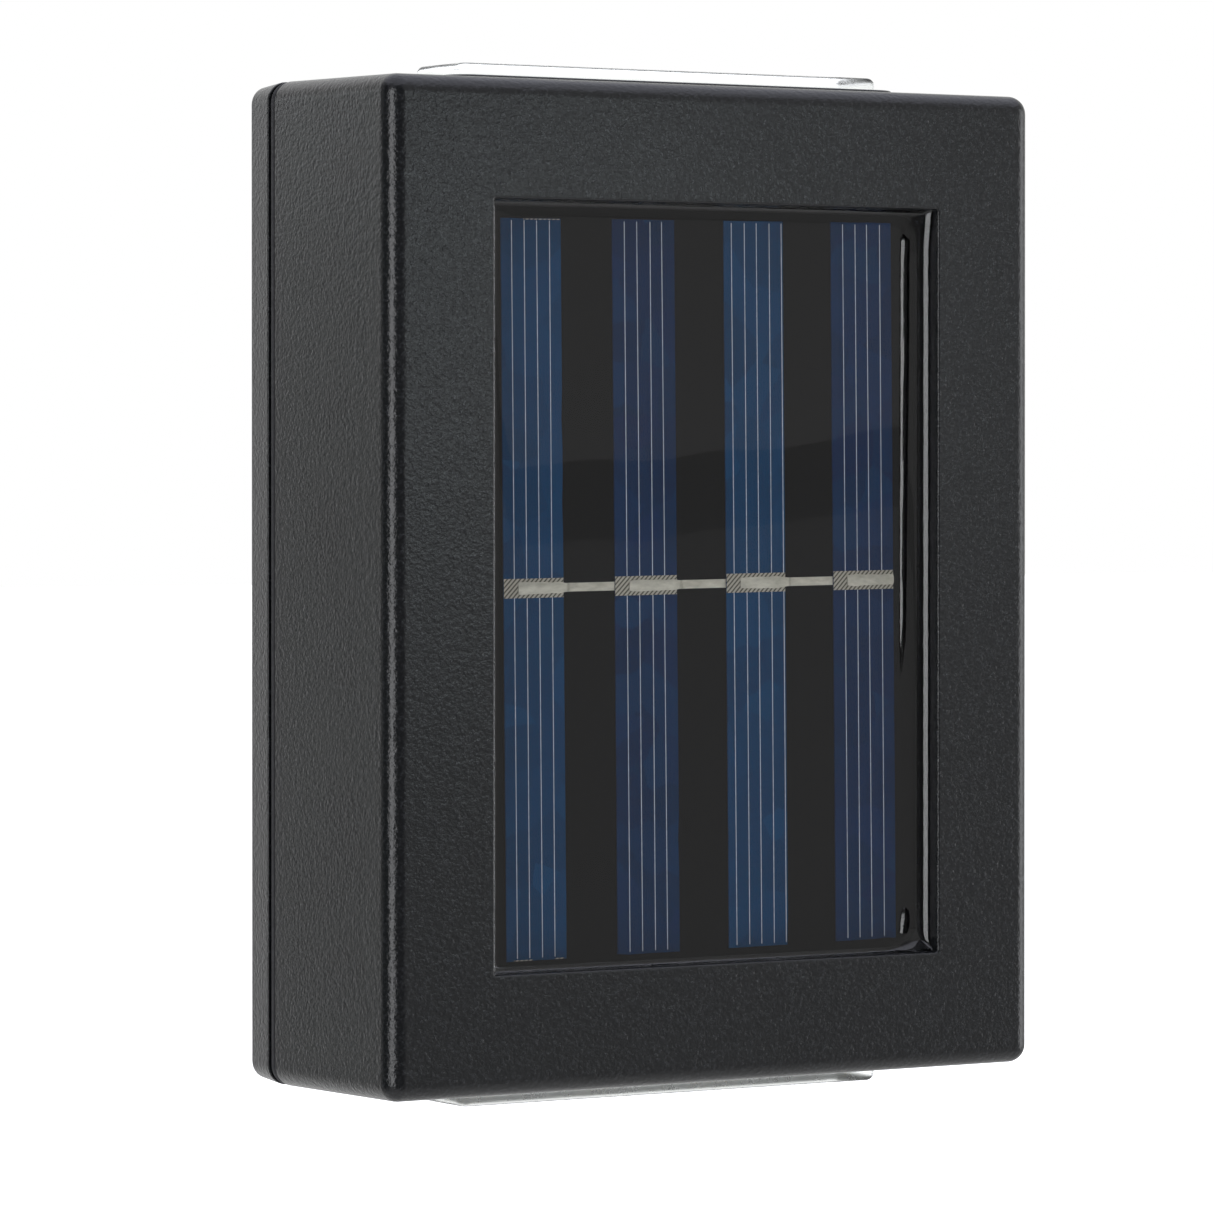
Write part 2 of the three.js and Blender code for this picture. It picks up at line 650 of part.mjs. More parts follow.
/** Slide switch body: an open-topped box with three solder pins behind. */
function switchBody() {
  const x = SWITCH_BODY.length / 2;
  const z = SWITCH_BODY.height / 2;
  const back = -WELL_DEPTH - WELL_FLOOR - CLEARANCE;
  const front = back - SWITCH_BODY.depth;
  const pins = [-2.5, 0, 2.5].map((pin) => {
    return box(pin - 0.3, front - 1.9, SWITCH_Z - 0.5, pin + 0.3, front + 0.5, SWITCH_Z + 0.5);
  });
  const stemX = (SWITCH_TRAVEL + KNOB.stemLength) / 2 + CLEARANCE;
  const stemZ = KNOB.stemHeight / 2 + CLEARANCE;
  const slot = box(-stemX, back - 1.5, SWITCH_Z - stemZ, stemX, back + 1, SWITCH_Z + stemZ);
  return shaped(box(-x, front, SWITCH_Z - z, x, back, SWITCH_Z + z), pins, [slot]);
}

/** Switch knob at its off end: a ribbed cap on a stem that reaches into the switch body. */
function switchKnob() {
  const capFront = -WELL_DEPTH + CLEARANCE;
  const capBack = capFront + 1.3;
  const stemFront = -WELL_DEPTH - WELL_FLOOR - CLEARANCE - 1.2;
  const capZ = KNOB.height / 2;
  const stem = box(
    -KNOB.stemLength / 2,
    stemFront,
    SWITCH_Z - KNOB.stemHeight / 2,
    KNOB.stemLength / 2,
    capFront + 0.5,
    SWITCH_Z + KNOB.stemHeight / 2,
  );
  const ribs = [-1.2, -0.4, 0.4, 1.2].map((x) => {
    return box(x - 0.2, capBack - 0.2, SWITCH_Z - capZ, x + 0.2, capBack + 0.3, SWITCH_Z + capZ);
  });
  const cap = box(-KNOB.length / 2, capFront, SWITCH_Z - capZ, KNOB.length / 2, capBack, SWITCH_Z + capZ);
  return shaped(cap, [stem, ...ribs], []).translate(-SWITCH_TRAVEL / 2, 0, 0);
}

/** A screw along Y whose head's seat is at ySeat, with a cross recess in the head. */
function screw(x, z, ySeat, length, shank, head, headHeight) {
  const top = ySeat + headHeight;
  const arm = head * 0.32;
  const slotHalf = head * 0.06;
  return shaped(
    rod(head, x, z, ySeat, top, 20),
    [rod(shank, x, z, ySeat - length, ySeat + 0.2, 12)],
    [
      box(x - arm, top - headHeight / 2, z - slotHalf, x + arm, top + 1, z + slotHalf),
      box(x - slotHalf, top - headHeight / 2, z - arm, x + slotHalf, top + 1, z + arm),
    ],
  );
}

/** Four cover screws and two board screws. */
function addScrews() {
  let count = 0;
  for (const z of [SCREW_Z, -SCREW_Z]) {
    for (const x of [-SCREW_X, SCREW_X]) {
      count += 1;
      const seat = -HEAD_SINK + CLEARANCE;
      const body = screw(x, z, seat, SCREW_LENGTH, SCREW_SHANK, SCREW_HEAD, SCREW_HEAD_HEIGHT);
      add(`cover_screw_${count}`, body, STEEL);
    }
  }
  CONTROL_SCREWS.forEach(([x, z], index) => {
    add(`board_screw_${index + 1}`, screw(x, z, CONTROL_BACK + CLEARANCE, 3.6, 1.6, 3.6, 1.2), STEEL);
  });
}

/** The control board and what is soldered to its back. */
function addControlBoard() {
  const outline = roundedRect(CONTROL.width, CONTROL.height, 1, 0, CONTROL.z);
  for (const [x, z] of CONTROL_SCREWS) {
    outline.holes.push(new THREE.Path().absarc(x, z, 1.3, 0, Math.PI * 2));
  }
  add('control_board', plate(outline, CONTROL.front, CONTROL_BACK), CIRCUIT_BOARD);

  const seat = CONTROL_BACK + 2 * BOND;
  const legs = [];
  for (const side of [-1, 1]) {
    for (const x of [-1.9, -0.63, 0.63, 1.9]) {
      legs.push(box(x - 0.2, seat, 12 + side * 2.4 - 0.8, x + 0.2, seat + 0.7, 12 + side * 2.4 + 0.8));
    }
  }
  add('control_chip', shaped(box(-2.45, seat + 0.3, 10, 2.45, seat + 1.8, 14), legs, []), COMPONENT);

  const drum = [[0, 0], [3.9, 0], [3.9, 1], [2.9, 1.5], [2.9, 4], [3.9, 4.5], [3.9, 5.5], [0, 5.5]];
  const inductor = new THREE.LatheGeometry(drum.map(([r, y]) => new THREE.Vector2(r, y)), 20);
  add('inductor', inductor.translate(9, seat, 14), COMPONENT);

  const base = box(-13.3, seat, 4.7, -6.7, seat + 1.2, 11.3);
  const capacitor = shaped(base, [rod(6.2, -10, 8, seat + 1, seat + 7, 20)], []);
  add('capacitor', capacitor, { color: 0xb8bcc0, roughness: 0.3, metalness: 0.9 });

  const tabs = [box(3, seat, 3.2, 4.4, seat + 0.4, 4.8), box(7.6, seat, 3.2, 9, seat + 0.4, 4.8)];
  add('rectifier_diode', shaped(box(3.9, seat + 0.2, 2.7, 8.1, seat + 2.2, 5.3), tabs, []), COMPONENT);
}

/** The battery with its spring and contacts. */
function addBattery() {
  const { diameter, length, y, z } = BATTERY;
  const half = length / 2;
  const radius = diameter / 2;
  const button = BUTTON_DIAMETER / 2;
  const profile = [
    [0, -half],
    [radius - 0.8, -half],
    [radius, -half + 0.8],
    [radius, half - 0.8],
    [radius - 0.8, half],
    [button, half],
    [button, half + BUTTON_HEIGHT - 0.3],
    [button - 0.3, half + BUTTON_HEIGHT],
    [0, half + BUTTON_HEIGHT],
  ];
  const can = new THREE.LatheGeometry(profile.map(([r, h]) => new THREE.Vector2(r, h)), 28);
  add('battery_cell', can.rotateZ(-Math.PI / 2).translate(0, y, z), {
    color: 0x3f7d4e,
    roughness: 0.4,
    metalness: 0,
  });

  const plusX = half + BUTTON_HEIGHT + CLEARANCE;
  const minusX = -half - SPRING_SPACE - CONTACT_THICKNESS;
  add('battery_plus_contact', contactPlate(plusX), STEEL);
  add('battery_minus_contact', contactPlate(minusX), STEEL);
  const springEnd = minusX + CONTACT_THICKNESS + CLEARANCE;
  add('battery_spring', batterySpring(springEnd, -half - CLEARANCE), STEEL);
}

/** A sheet contact with a solder tab on its upper edge. */
function contactPlate(x) {
  const { y, z } = BATTERY;
  const top = z + CONTACT_TALL / 2;
  const half = CONTACT_WIDTH / 2;
  const sheet = box(x, y - half, z - CONTACT_TALL / 2, x + CONTACT_THICKNESS, y + half, top);
  const tab = box(x, y - 1.5, top - 0.5, x + CONTACT_THICKNESS, y + 1.5, top + 3);
  return shaped(sheet, [tab], []);
}

/** A conical coil spring along X that fits between two planes. */
function batterySpring(xLow, xHigh) {
  const wire = 0.4;
  const turns = 3.5;
  const points = [];
  const pointCount = 43;
  for (let i = 0; i < pointCount; i += 1) {
    const share = i / (pointCount - 1);
    const angle = share * turns * Math.PI * 2;
    const radius = 4.6 - 1.6 * share;
    const x = xLow + wire + share * (xHigh - xLow - 2 * wire);
    const y = BATTERY.y + radius * Math.cos(angle);
    const z = BATTERY.z + radius * Math.sin(angle);
    points.push(new THREE.Vector3(x, y, z));
  }
  return tube(points, wire, 56, 6);
}

/** A round tube along a smooth curve through the points. */
function tube(points, radius, steps, sides) {
  const section = new THREE.Shape();
  for (let i = 0; i < sides; i += 1) {
    const angle = (i / sides) * Math.PI * 2;
    const place = [radius * Math.cos(angle), radius * Math.sin(angle)];
    if (i === 0) section.moveTo(...place);
    else section.lineTo(...place);
  }
  const extrudePath = new THREE.CatmullRomCurve3(points);
  return new THREE.ExtrudeGeometry(section, { steps, extrudePath, bevelEnabled: false });
}

/** A red and a black lead along their own routes. */
function addLeadPair(name, red, black) {
  const routes = [['red', red, RED_LEAD], ['black', black, BLACK_LEAD]];
  for (const [colour, route, look] of routes) {
    const points = route.map(([x, y, z]) => new THREE.Vector3(x, y, z));
    add(`${name}_${colour}`, tube(points, LEAD_RADIUS, 3 * route.length, 8), look);
  }
}

/** The same route moved sideways, for the second lead of a pair. */
function beside(route, [dx, dy, dz]) {
  return route.map(([x, y, z]) => [x + dx, y + dy, z + dz]);
}

/** Every internal lead, from soldered end to soldered end. */
function addLeads() {
  const pad = CONTROL_BACK + CLEARANCE;
  const run = pad + 2.4;
  const lampPad = LAMP_BOARD_Z - CLEARANCE;
  const tabZ = BATTERY.z + CONTACT_TALL / 2 + 3 + CLEARANCE;
  const pinEnd = -WELL_DEPTH - WELL_FLOOR - CLEARANCE - SWITCH_BODY.depth - 1.9 - CLEARANCE;
  const spacing = 1.8;
  const diagonal = 1.3;

  const panel = [
    [LEAD_HOLE.x - diagonal / 2, PANEL_BOARD_BACK + CLEARANCE, LEAD_HOLE.z + diagonal / 2],
    [LEAD_HOLE.x - diagonal / 2, TRAY_BACK + 1, LEAD_HOLE.z + diagonal / 2],
    [18.6, pad - 0.3, 28],
    [12.4, run - 0.4, 24],
    [11.2, run - 0.1, 20.8],
    [11, pad, 20.4],
  ];
  addLeadPair('panel_lead', panel, beside(panel, [diagonal, 0, -diagonal]));

  const topLamp = [
    [-8, pad, 20],
    [-8, run, 20.6],
    [-12, run, 28],
    [-19, run, 36],
    [-20, run, 40],
    [-20, run, lampPad],
  ];
  addLeadPair('top_lamp_lead', topLamp, beside(topLamp, [spacing, 0, 0]));

  addLeadPair(
    'bottom_lamp_lead',
    [
      [15, pad, 8],
      [15.4, run, 8],
      [24, run + 0.6, 4],
      [34.5, run, -8],
      [34.5, run, -28],
      [28, run, -38],
      [20.6, run, -40.4],
      [20, run, -lampPad],
    ],
    [
      [15, pad, 10.5],
      [15.4, run + 0.4, 10.5],
      [25, run + 2.6, 6.5],
      [36.3, run + 2.2, -7],
      [36.3, run + 2.2, -29],
      [29, run + 2.2, -38.6],
      [23, run + 1.6, -40.4],
      [22.4, run + 1.6, -lampPad],
    ],
  );

  const plusX = BATTERY.length / 2 + BUTTON_HEIGHT + CLEARANCE + CONTACT_THICKNESS / 2;
  const minusX = -BATTERY.length / 2 - SPRING_SPACE - CONTACT_THICKNESS / 2;
  addLeadPair(
    'battery_lead',
    [
      [plusX, BATTERY.y, tabZ],
      [plusX, BATTERY.y, tabZ + 2],
      [22.5, run + 0.4, -1.4],
      [17.4, run, 3.4],
      [16.6, run, 5],
      [16.4, pad, 5.2],
    ],
    [
      [minusX, BATTERY.y, tabZ],
      [minusX, BATTERY.y, tabZ + 2.5],
      [-25, run + 0.4, 0.6],
      [-18, run, 4],
      [-15.7, run, 5],
      [-15.5, pad, 5.2],
    ],
  );

  const overBattery = BATTERY.y + BATTERY.diameter / 2 + LEAD_RADIUS + 1;
  const switchRoute = [
    [-2.5, pinEnd, SWITCH_Z],
    [-2.6, pinEnd - 2, SWITCH_Z + 0.6],
    [-3, pinEnd - 1.5, -30.4],
    [-4, overBattery - 3, -26.4],
    [-4.5, overBattery, -21],
    [-4.5, overBattery, -12],
    [-4.5, overBattery - 3, -6],
    [-4.5, run + 2, -2],
    [-4.5, run, 0.4],
    [-4.5, pad, 0.8],
  ];
  addLeadPair('switch_lead', switchRoute, beside(switchRoute, [2.5, 0, 0]));
}

add('front_housing', frontHousing(), BLACK_PLASTIC);
const seam = ringShape(WIDTH, HEIGHT, CORNER_RADIUS, WALL - 2 * BOND);
add('housing_gasket', plate(seam, GASKET_FRONT, GASKET_BACK), DARK_RUBBER);
add('rear_cover', rearCover(), BLACK_PLASTIC);
addPanel();
addLampSets();
addControlBoard();
addBattery();
add('switch_body', switchBody(), COMPONENT);
add('switch_knob', switchKnob(), { color: 0xd0d2d0, roughness: 0.5, metalness: 0 });
addScrews();
addLeads();

export default part;
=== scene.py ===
"""Looks for the solar up-and-down wall light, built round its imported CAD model.

Metres, in the model's frame: the origin is the centre of the back face, the front looks along -Y
and +Z is up. Lengths written with MM are millimetres.
"""
import json
import math
import random

import bmesh
import bpy
import numpy as np
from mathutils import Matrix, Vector, noise


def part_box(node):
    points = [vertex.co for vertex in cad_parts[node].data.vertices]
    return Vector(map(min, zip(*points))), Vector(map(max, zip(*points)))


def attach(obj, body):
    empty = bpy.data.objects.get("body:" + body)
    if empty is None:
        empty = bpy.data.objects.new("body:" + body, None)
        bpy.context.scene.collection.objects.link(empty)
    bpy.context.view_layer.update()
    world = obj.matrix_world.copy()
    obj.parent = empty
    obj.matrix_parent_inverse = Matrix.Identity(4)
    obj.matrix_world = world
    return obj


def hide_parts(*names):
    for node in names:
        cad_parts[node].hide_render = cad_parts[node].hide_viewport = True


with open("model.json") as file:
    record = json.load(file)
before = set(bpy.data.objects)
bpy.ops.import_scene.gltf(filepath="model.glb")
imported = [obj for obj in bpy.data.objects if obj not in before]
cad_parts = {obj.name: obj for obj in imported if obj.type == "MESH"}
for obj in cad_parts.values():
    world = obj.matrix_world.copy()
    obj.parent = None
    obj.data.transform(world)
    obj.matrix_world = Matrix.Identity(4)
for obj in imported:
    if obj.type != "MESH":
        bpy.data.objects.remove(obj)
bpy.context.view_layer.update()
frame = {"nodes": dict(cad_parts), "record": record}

MM = 0.001
BODY = "housing"

# ---------------------------------------------------------------- places taken from the model
HOUSING_LOW, HOUSING_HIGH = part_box("front_housing")
COVER_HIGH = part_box("rear_cover")[1]
GASKET_LOW, GASKET_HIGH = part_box("housing_gasket")
RESIN_LOW, RESIN_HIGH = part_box("panel_resin")
BOARD_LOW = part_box("panel_board")[0]
TAPE_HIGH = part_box("panel_adhesive")[1]
TOP_LENS_LOW, TOP_LENS_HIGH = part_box("top_lens")

HALF_X = HOUSING_HIGH.x
HALF_Z = COVER_HIGH.z
FRONT = HOUSING_LOW.y
SHELL_BACK = HOUSING_HIGH.y
WALL = 2.0 * MM
FRONT_WALL = 2.2 * MM
DRAFT = 0.36 * MM
INNER_X = HALF_X - DRAFT - WALL
INNER_Z = HALF_Z - DRAFT - WALL
SEAM_GAP = 0.5 * MM
SEAM_Y = GASKET_HIGH.y + SEAM_GAP
FILLET = 2.0 * MM
CORNER = 2.3 * MM
RESIN_FIT = 0.1 * MM
WINDOW_X = RESIN_HIGH.x + RESIN_FIT
WINDOW_Z = RESIN_HIGH.z + RESIN_FIT
WINDOW_CORNER = 0.25 * MM
RIM = 0.28 * MM
POCKET_BACK = TAPE_HIGH.y + 0.05 * MM
TRAY_BACK = POCKET_BACK + 1.8 * MM
TRAY_WALL = 1.8 * MM
COVER_DRAFT = 0.5 * MM
LENS_Y = (TOP_LENS_LOW.y + TOP_LENS_HIGH.y) / 2

# ---------------------------------------------------------------- sizes that follow the CAD source
# Half length, half depth and corner of the collar round a lens and of the hole inside it
COLLAR = (28.5 * MM, 7.0 * MM, 2.8 * MM)
OPENING = (27.0 * MM, 5.5 * MM, 1.3 * MM)
# X, Z and radius of the hole for the panel's leads in the pocket floor
LEAD_HOLE = (22 * MM, 30 * MM, 2.4 * MM)
# Keyhole: radius of its head and half width of its slot, and the heights of their centres
KEYHOLE_HEAD, KEYHOLE_SLOT = 4.1 * MM, 2.2 * MM
KEYHOLE_LOW, KEYHOLE_HIGH = 29 * MM, 36.5 * MM
# Switch well and the slot that the knob's stem slides in: half length, half height and corner
WELL_Z = -35 * MM
WELL = (8 * MM, 4 * MM, 0.6 * MM)
STEM_SLOT = (2.05 * MM, 0.9 * MM, 0.3 * MM)
# Screws: half their spacing, the radii of the hole and of the cup, and the Y of the cup's floor
SCREW_X, SCREW_Z = 35.2 * MM, 47.2 * MM
SCREW_HOLE, SCREW_CUP, CUP_FLOOR = 1.45 * MM, 2.7 * MM, -3.4 * MM
# The hand-laid silicon strips, and how far they lean
STRIPS = range(4)
LEAN = math.radians(-0.55)


# ---------------------------------------------------------------- meshes
def rounded_loop(half_u, half_v, radius, level, axis="y", centre=0.0, steps=8):
    """A rounded rectangle of points at one level. Axis y spans X and Z, axis z spans X and Y."""
    points = []
    for corner in range(4):
        side_u = 1 if corner in (0, 3) else -1
        side_v = 1 if corner in (0, 1) else -1
        for step in range(steps + 1):
            angle = math.pi / 2 * (corner + step / steps)
            u = side_u * (half_u - radius) + radius * math.cos(angle)
            v = side_v * (half_v - radius) + radius * math.sin(angle)
            points.append((u, level, v + centre) if axis == "y" else (u, v + centre, level))
    return points


def loft(loops, ring=False):
    """Vertices and faces of a closed skin through loops of equal length."""
    count = len(loops[0])
    vertices = [point for loop in loops for point in loop]
    faces = []
    rows = len(loops) if ring else len(loops) - 1
    for row in range(rows):
        near = row * count
        far = (row + 1) % len(loops) * count
        for i in range(count):
            j = (i + 1) % count
            faces.append((near + i, near + j, far + j, far + i))
    if not ring:
        faces.append(tuple(reversed(range(count))))
        last = (len(loops) - 1) * count
        faces.append(tuple(last + i for i in range(count)))
    return vertices, faces


def new_object(name, vertices, faces, materials=(), indices=None):
    """A linked mesh object with outward normals."""
    mesh = bpy.data.meshes.new(name)
    mesh.from_pydata([tuple(v) for v in vertices], [], faces)
    mesh.validate()
    made = bpy.data.objects.new(name, mesh)
    bpy.context.scene.collection.objects.link(made)
    for material in materials:
        mesh.materials.append(material)
    if indices is not None:
        mesh.polygons.foreach_set("material_index", indices)
    outward(mesh)
    return made


def outward(mesh):
    """Turns all faces of each closed shell outwards."""
    work = bmesh.new()
    work.from_mesh(mesh)
    bmesh.ops.recalc_face_normals(work, faces=work.faces)
    work.to_mesh(mesh)
    work.free()
    mesh.update()


def smooth(piece, degrees=32, weighted=True):
    """Smooth shading that keeps the real edges and the flatness of big faces."""
    piece.data.shade_smooth()
    piece.data.set_sharp_from_angle(angle=math.radians(degrees))
    if weighted:
        modifier = piece.modifiers.new("weighted", "WEIGHTED_NORMAL")
        modifier.keep_sharp = True
    return piece


def combine(piece, other, operation):
    """Joins another solid to a piece, cuts it away or keeps what both share."""
    modifier = piece.modifiers.new("combine", "BOOLEAN")
    modifier.operation = operation
    modifier.solver = "MANIFOLD"
    modifier.object = other
    graph = bpy.context.evaluated_depsgraph_get()
    mesh = bpy.data.meshes.new_from_object(piece.evaluated_get(graph))
    piece.modifiers.remove(modifier)
    piece.data = mesh
    bpy.data.objects.remove(other)
    return piece


def copy_of(node_name, name):
    """A welded copy of a CAD node to build on. The node itself stays as it is."""
    mesh = frame["nodes"][node_name].data.copy()
    work = bmesh.new()
    work.from_mesh(mesh)
    bmesh.ops.remove_doubles(work, verts=work.verts, dist=1e-7)
    work.to_mesh(mesh)
    work.free()
    mesh.materials.clear()
    made = bpy.data.objects.new(name, mesh)
    bpy.context.scene.collection.objects.link(made)
    return made


def block(low, high):
    """A plain box, used only as a cutting tool."""
    corners = [(x, y, z) for x in (low[0], high[0]) for y in (low[1], high[1]) for z in (low[2], high[2])]
    faces = [(0, 1, 3, 2), (4, 6, 7, 5), (0, 4, 5, 1), (2, 3, 7, 6), (0, 2, 6, 4), (1, 5, 7, 3)]
    return new_object("tool", corners, faces)


def prism(half_u, half_v, radius, low, high, centre=0.0):
    """A rounded plate from one Y to another, used only as a cutting tool."""
    ends = [rounded_loop(half_u, half_v, radius, level, "y", centre) for level in (low, high)]
    return new_object("tool", *loft(ends))


def turned(x, z, profile, sides=40):
    """A turned tool along Y, from (radius, y) places."""
    angles = [2 * math.pi * side / sides for side in range(sides)]
    loops = []
    for radius, y in profile:
        loops.append([(x + radius * math.cos(angle), y, z + radius * math.sin(angle)) for angle in angles])
    return new_object("tool", *loft(loops))


def finish_piece(piece, nodes, body=BODY):
    """Puts a piece on its body, in place of its CAD nodes."""
    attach(piece, body)
    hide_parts(*nodes)
    return piece


# ---------------------------------------------------------------- shader nodes
def node(tree, kind, inputs=None, **settings):
    """One shader node with its settings and its inputs, which are sockets or constants."""
    made = tree.nodes.new("ShaderNode" + kind)
    for key, value in settings.items():
        setattr(made, key, value)
    for key, value in (inputs or {}).items():
        socket = made.inputs[key]
        if isinstance(value, bpy.types.NodeSocket):
            tree.links.new(value, socket)
        else:
            socket.default_value = value
    return made


def math_node(tree, operation, *values):
    return node(tree, "Math", dict(enumerate(values)), operation=operation).outputs[0]


def ramp(tree, factor, stops):
    """A colour ramp from (place, value) stops. A value is a colour or a grey."""
    made = node(tree, "ValToRGB", {0: factor})
    elements = made.color_ramp.elements
    while len(elements) > 1:
        elements.remove(elements[-1])
    for index, (place, value) in enumerate(stops):
        element = elements[0] if index == 0 else elements.new(place)
        element.position = place
        colour = value if isinstance(value, tuple) else (value,) * 3
        element.color = (*colour, 1)
    return made.outputs[0]


def mixed(tree, factor, first, second):
    """Two colours mixed by a factor. Each is a socket or a constant."""
    made = node(tree, "Mix", data_type="RGBA")
    for socket, value in ((made.inputs[0], factor), (made.inputs[6], first), (made.inputs[7], second)):
        if isinstance(value, bpy.types.NodeSocket):
            tree.links.new(value, socket)
        elif isinstance(value, tuple):
            socket.default_value = (*value, 1)
        else:
            socket.default_value = value
    return made.outputs[2]


def scaled(tree, factors):
    """Object coordinates stretched along each axis."""
    place = node(tree, "TexCoord").outputs["Object"]
    return node(tree, "Mapping", {"Vector": place, "Scale": factors}).outputs[0]


def noise_node(tree, scale, detail=2.0, rough=0.5, vector=None):
    vector = vector or node(tree, "TexCoord").outputs["Object"]
    inputs = {"Vector": vector, "Scale": scale, "Detail": detail, "Roughness": rough}
    return node(tree, "TexNoise", inputs).outputs["Fac"]


def new_material(name, **constants):
    """A node material and its tree, with constants set on the shader's own sockets."""
    material = bpy.data.materials.new(name)
    material.use_nodes = True
    shader = material.node_tree.nodes["Principled BSDF"]
    for key, value in constants.items():
        socket = shader.inputs[key.replace("_", " ")]
        socket.default_value = (*value, 1) if isinstance(value, tuple) else value
    return material, material.node_tree, shader


def set_bump(tree, shader, height, distance, strength=1.0):
    bump = node(tree, "Bump", {"Height": height, "Distance": distance, "Strength": strength})
    tree.links.new(bump.outputs[0], shader.inputs["Normal"])


def grained(name, dark, light, roughness, scale, bump, metallic=0.0, stretch=(1, 1, 1), **constants):
    """A general surface: two tones mixed by fine noise, with uneven gloss and a fine relief."""
    material, tree, shader = new_material(name, Metallic=metallic, **constants)
    vector = scaled(tree, stretch)
    tone = ramp(tree, noise_node(tree, scale, 4, 0.6, vector), [(0.3, 0.0), (0.7, 1.0)])
    tree.links.new(mixed(tree, tone, dark, light), shader.inputs["Base Color"])
    gloss = noise_node(tree, scale * 0.37, 3, 0.6, vector)
    spread = math_node(tree, "MULTIPLY_ADD", gloss, roughness * 0.5, roughness * 0.75)
    tree.links.new(spread, shader.inputs["Roughness"])
    set_bump(tree, shader, noise_node(tree, scale * 2.3, 3, 0.6, vector), bump)
    return material


def black_abs():
    """Black moulded ABS with a fine spark-eroded grain and a little dust."""
    material, tree, shader = new_material("black_abs", IOR=1.5, Specular_IOR_Level=0.4)
    cloud = ramp(tree, noise_node(tree, 38, 3, 0.55), [(0.35, 0.0), (0.65, 1.0)])
    tone = mixed(tree, cloud, (0.0036, 0.0040, 0.0046), (0.0046, 0.0050, 0.0056))
    grain = noise_node(tree, 3000, 2, 0.6)
    coarse = noise_node(tree, 1800, 2, 0.6)
    fleck = ramp(tree, grain, [(0.50, 0.0), (0.68, 1.0)])
    tone = mixed(tree, fleck, tone, (0.0118, 0.0128, 0.0142))
    place = node(tree, "TexCoord").outputs["Object"]
    dust = node(tree, "TexVoronoi", {"Vector": place, "Scale": 130.0, "Randomness": 1.0}, feature="F1")
    chosen = node(tree, "SeparateColor", {0: dust.outputs["Color"]}).outputs[0]
    radius = math_node(tree, "MULTIPLY", math_node(tree, "SUBTRACT", chosen, 0.80), 0.045)
    speck = math_node(tree, "LESS_THAN", dust.outputs["Distance"], radius)
    tone = mixed(tree, math_node(tree, "MULTIPLY", speck, 0.6), tone, (0.3, 0.3, 0.3))
    tree.links.new(tone, shader.inputs["Base Color"])
    rough = math_node(tree, "MULTIPLY_ADD", noise_node(tree, 60, 4, 0.6), 0.05, 0.21)
    tree.links.new(math_node(tree, "MULTIPLY_ADD", speck, 0.3, rough), shader.inputs["Roughness"])
    relief = math_node(tree, "MULTIPLY_ADD", grain, 0.6, math_node(tree, "MULTIPLY", coarse, 0.8))
    set_bump(tree, shader, relief, 0.000085, 0.9)
    return material


def potting_resin():
    """Clear cast resin: glossy and faintly wavy."""
    material, tree, shader = new_material("potting_resin", IOR=1.5, Transmission_Weight=1.0, Roughness=0.0)
    tint = noise_node(tree, 30, 2, 0.5)
    tree.links.new(mixed(tree, tint, (0.88, 0.90, 0.93), (0.94, 0.95, 0.97)), shader.inputs["Base Color"])
    set_bump(tree, shader, noise_node(tree, 70, 1, 0.4), 0.00003, 0.25)
    return material


def silicon(name, dark, light, violet):
    """Polycrystalline silicon under its blue coating: crystals of slightly different blue."""
    material, tree, shader = new_material(name, IOR=1.5, Roughness=0.32, Specular_IOR_Level=0.0)
    place = node(tree, "TexCoord").outputs["Object"]
    warp = node(tree, "TexNoise", {"Vector": place, "Scale": 320.0, "Detail": 2.0}).outputs["Color"]
    reach = (0.0016, 0.0016, 0.0016)
    shift = node(tree, "VectorMath", {0: warp, 1: reach}, operation="MULTIPLY").outputs[0]
    moved = node(tree, "VectorMath", {0: place, 1: shift}, operation="ADD").outputs[0]
    crystals = node(tree, "TexVoronoi", {"Vector": moved, "Scale": 210.0}, feature="F1")
    crystal = node(tree, "SeparateColor", {0: crystals.outputs["Color"]})
    tone = mixed(tree, crystal.outputs[0], dark, light)
    tone = mixed(tree, math_node(tree, "MULTIPLY", crystal.outputs[1], 0.55), tone, violet)
    # Fine spots that lighten the base colour towards the light blue: painted glints
    fine = noise_node(tree, 1500, 4, 0.7)
    painted_glint = math_node(tree, "MULTIPLY", ramp(tree, fine, [(0.45, 0.0), (0.8, 1.0)]), 0.35)
    tree.links.new(mixed(tree, painted_glint, tone, light), shader.inputs["Base Color"])
    rough = math_node(tree, "MULTIPLY_ADD", crystal.outputs[2], 0.2, 0.3)
    tree.links.new(rough, shader.inputs["Roughness"])
    set_bump(tree, shader, fine, 0.00001, 0.4)
    return material


def silver_print():
    """Screen-printed silver: fired paste with a diagonal mesh mark."""
    material, tree, shader = new_material("silver_print", Metallic=0.2, Specular_IOR_Level=0.1)
    vector = node(tree, "Mapping", {
        "Vector": node(tree, "TexCoord").outputs["Object"],
        "Rotation": (0.0, math.radians(-45), 0.0),
    }).outputs[0]
    lines = node(tree, "TexWave", {"Vector": vector, "Scale": 820.0, "Distortion": 0.5, "Detail": 1.0},
                 bands_direction="X").outputs["Fac"]
    grit = noise_node(tree, 5200, 3, 0.7)
    shade = math_node(tree, "MULTIPLY_ADD", grit, 0.3, math_node(tree, "MULTIPLY", lines, 0.7))
    tones = [(0.18, (0.06, 0.055, 0.04)), (0.42, (0.34, 0.32, 0.25)), (0.9, (0.48, 0.46, 0.38))]
    tree.links.new(ramp(tree, shade, tones), shader.inputs["Base Color"])
    tree.links.new(math_node(tree, "MULTIPLY_ADD", grit, 0.3, 0.4), shader.inputs["Roughness"])
    set_bump(tree, shader, shade, 0.00002, 0.6)
    return material


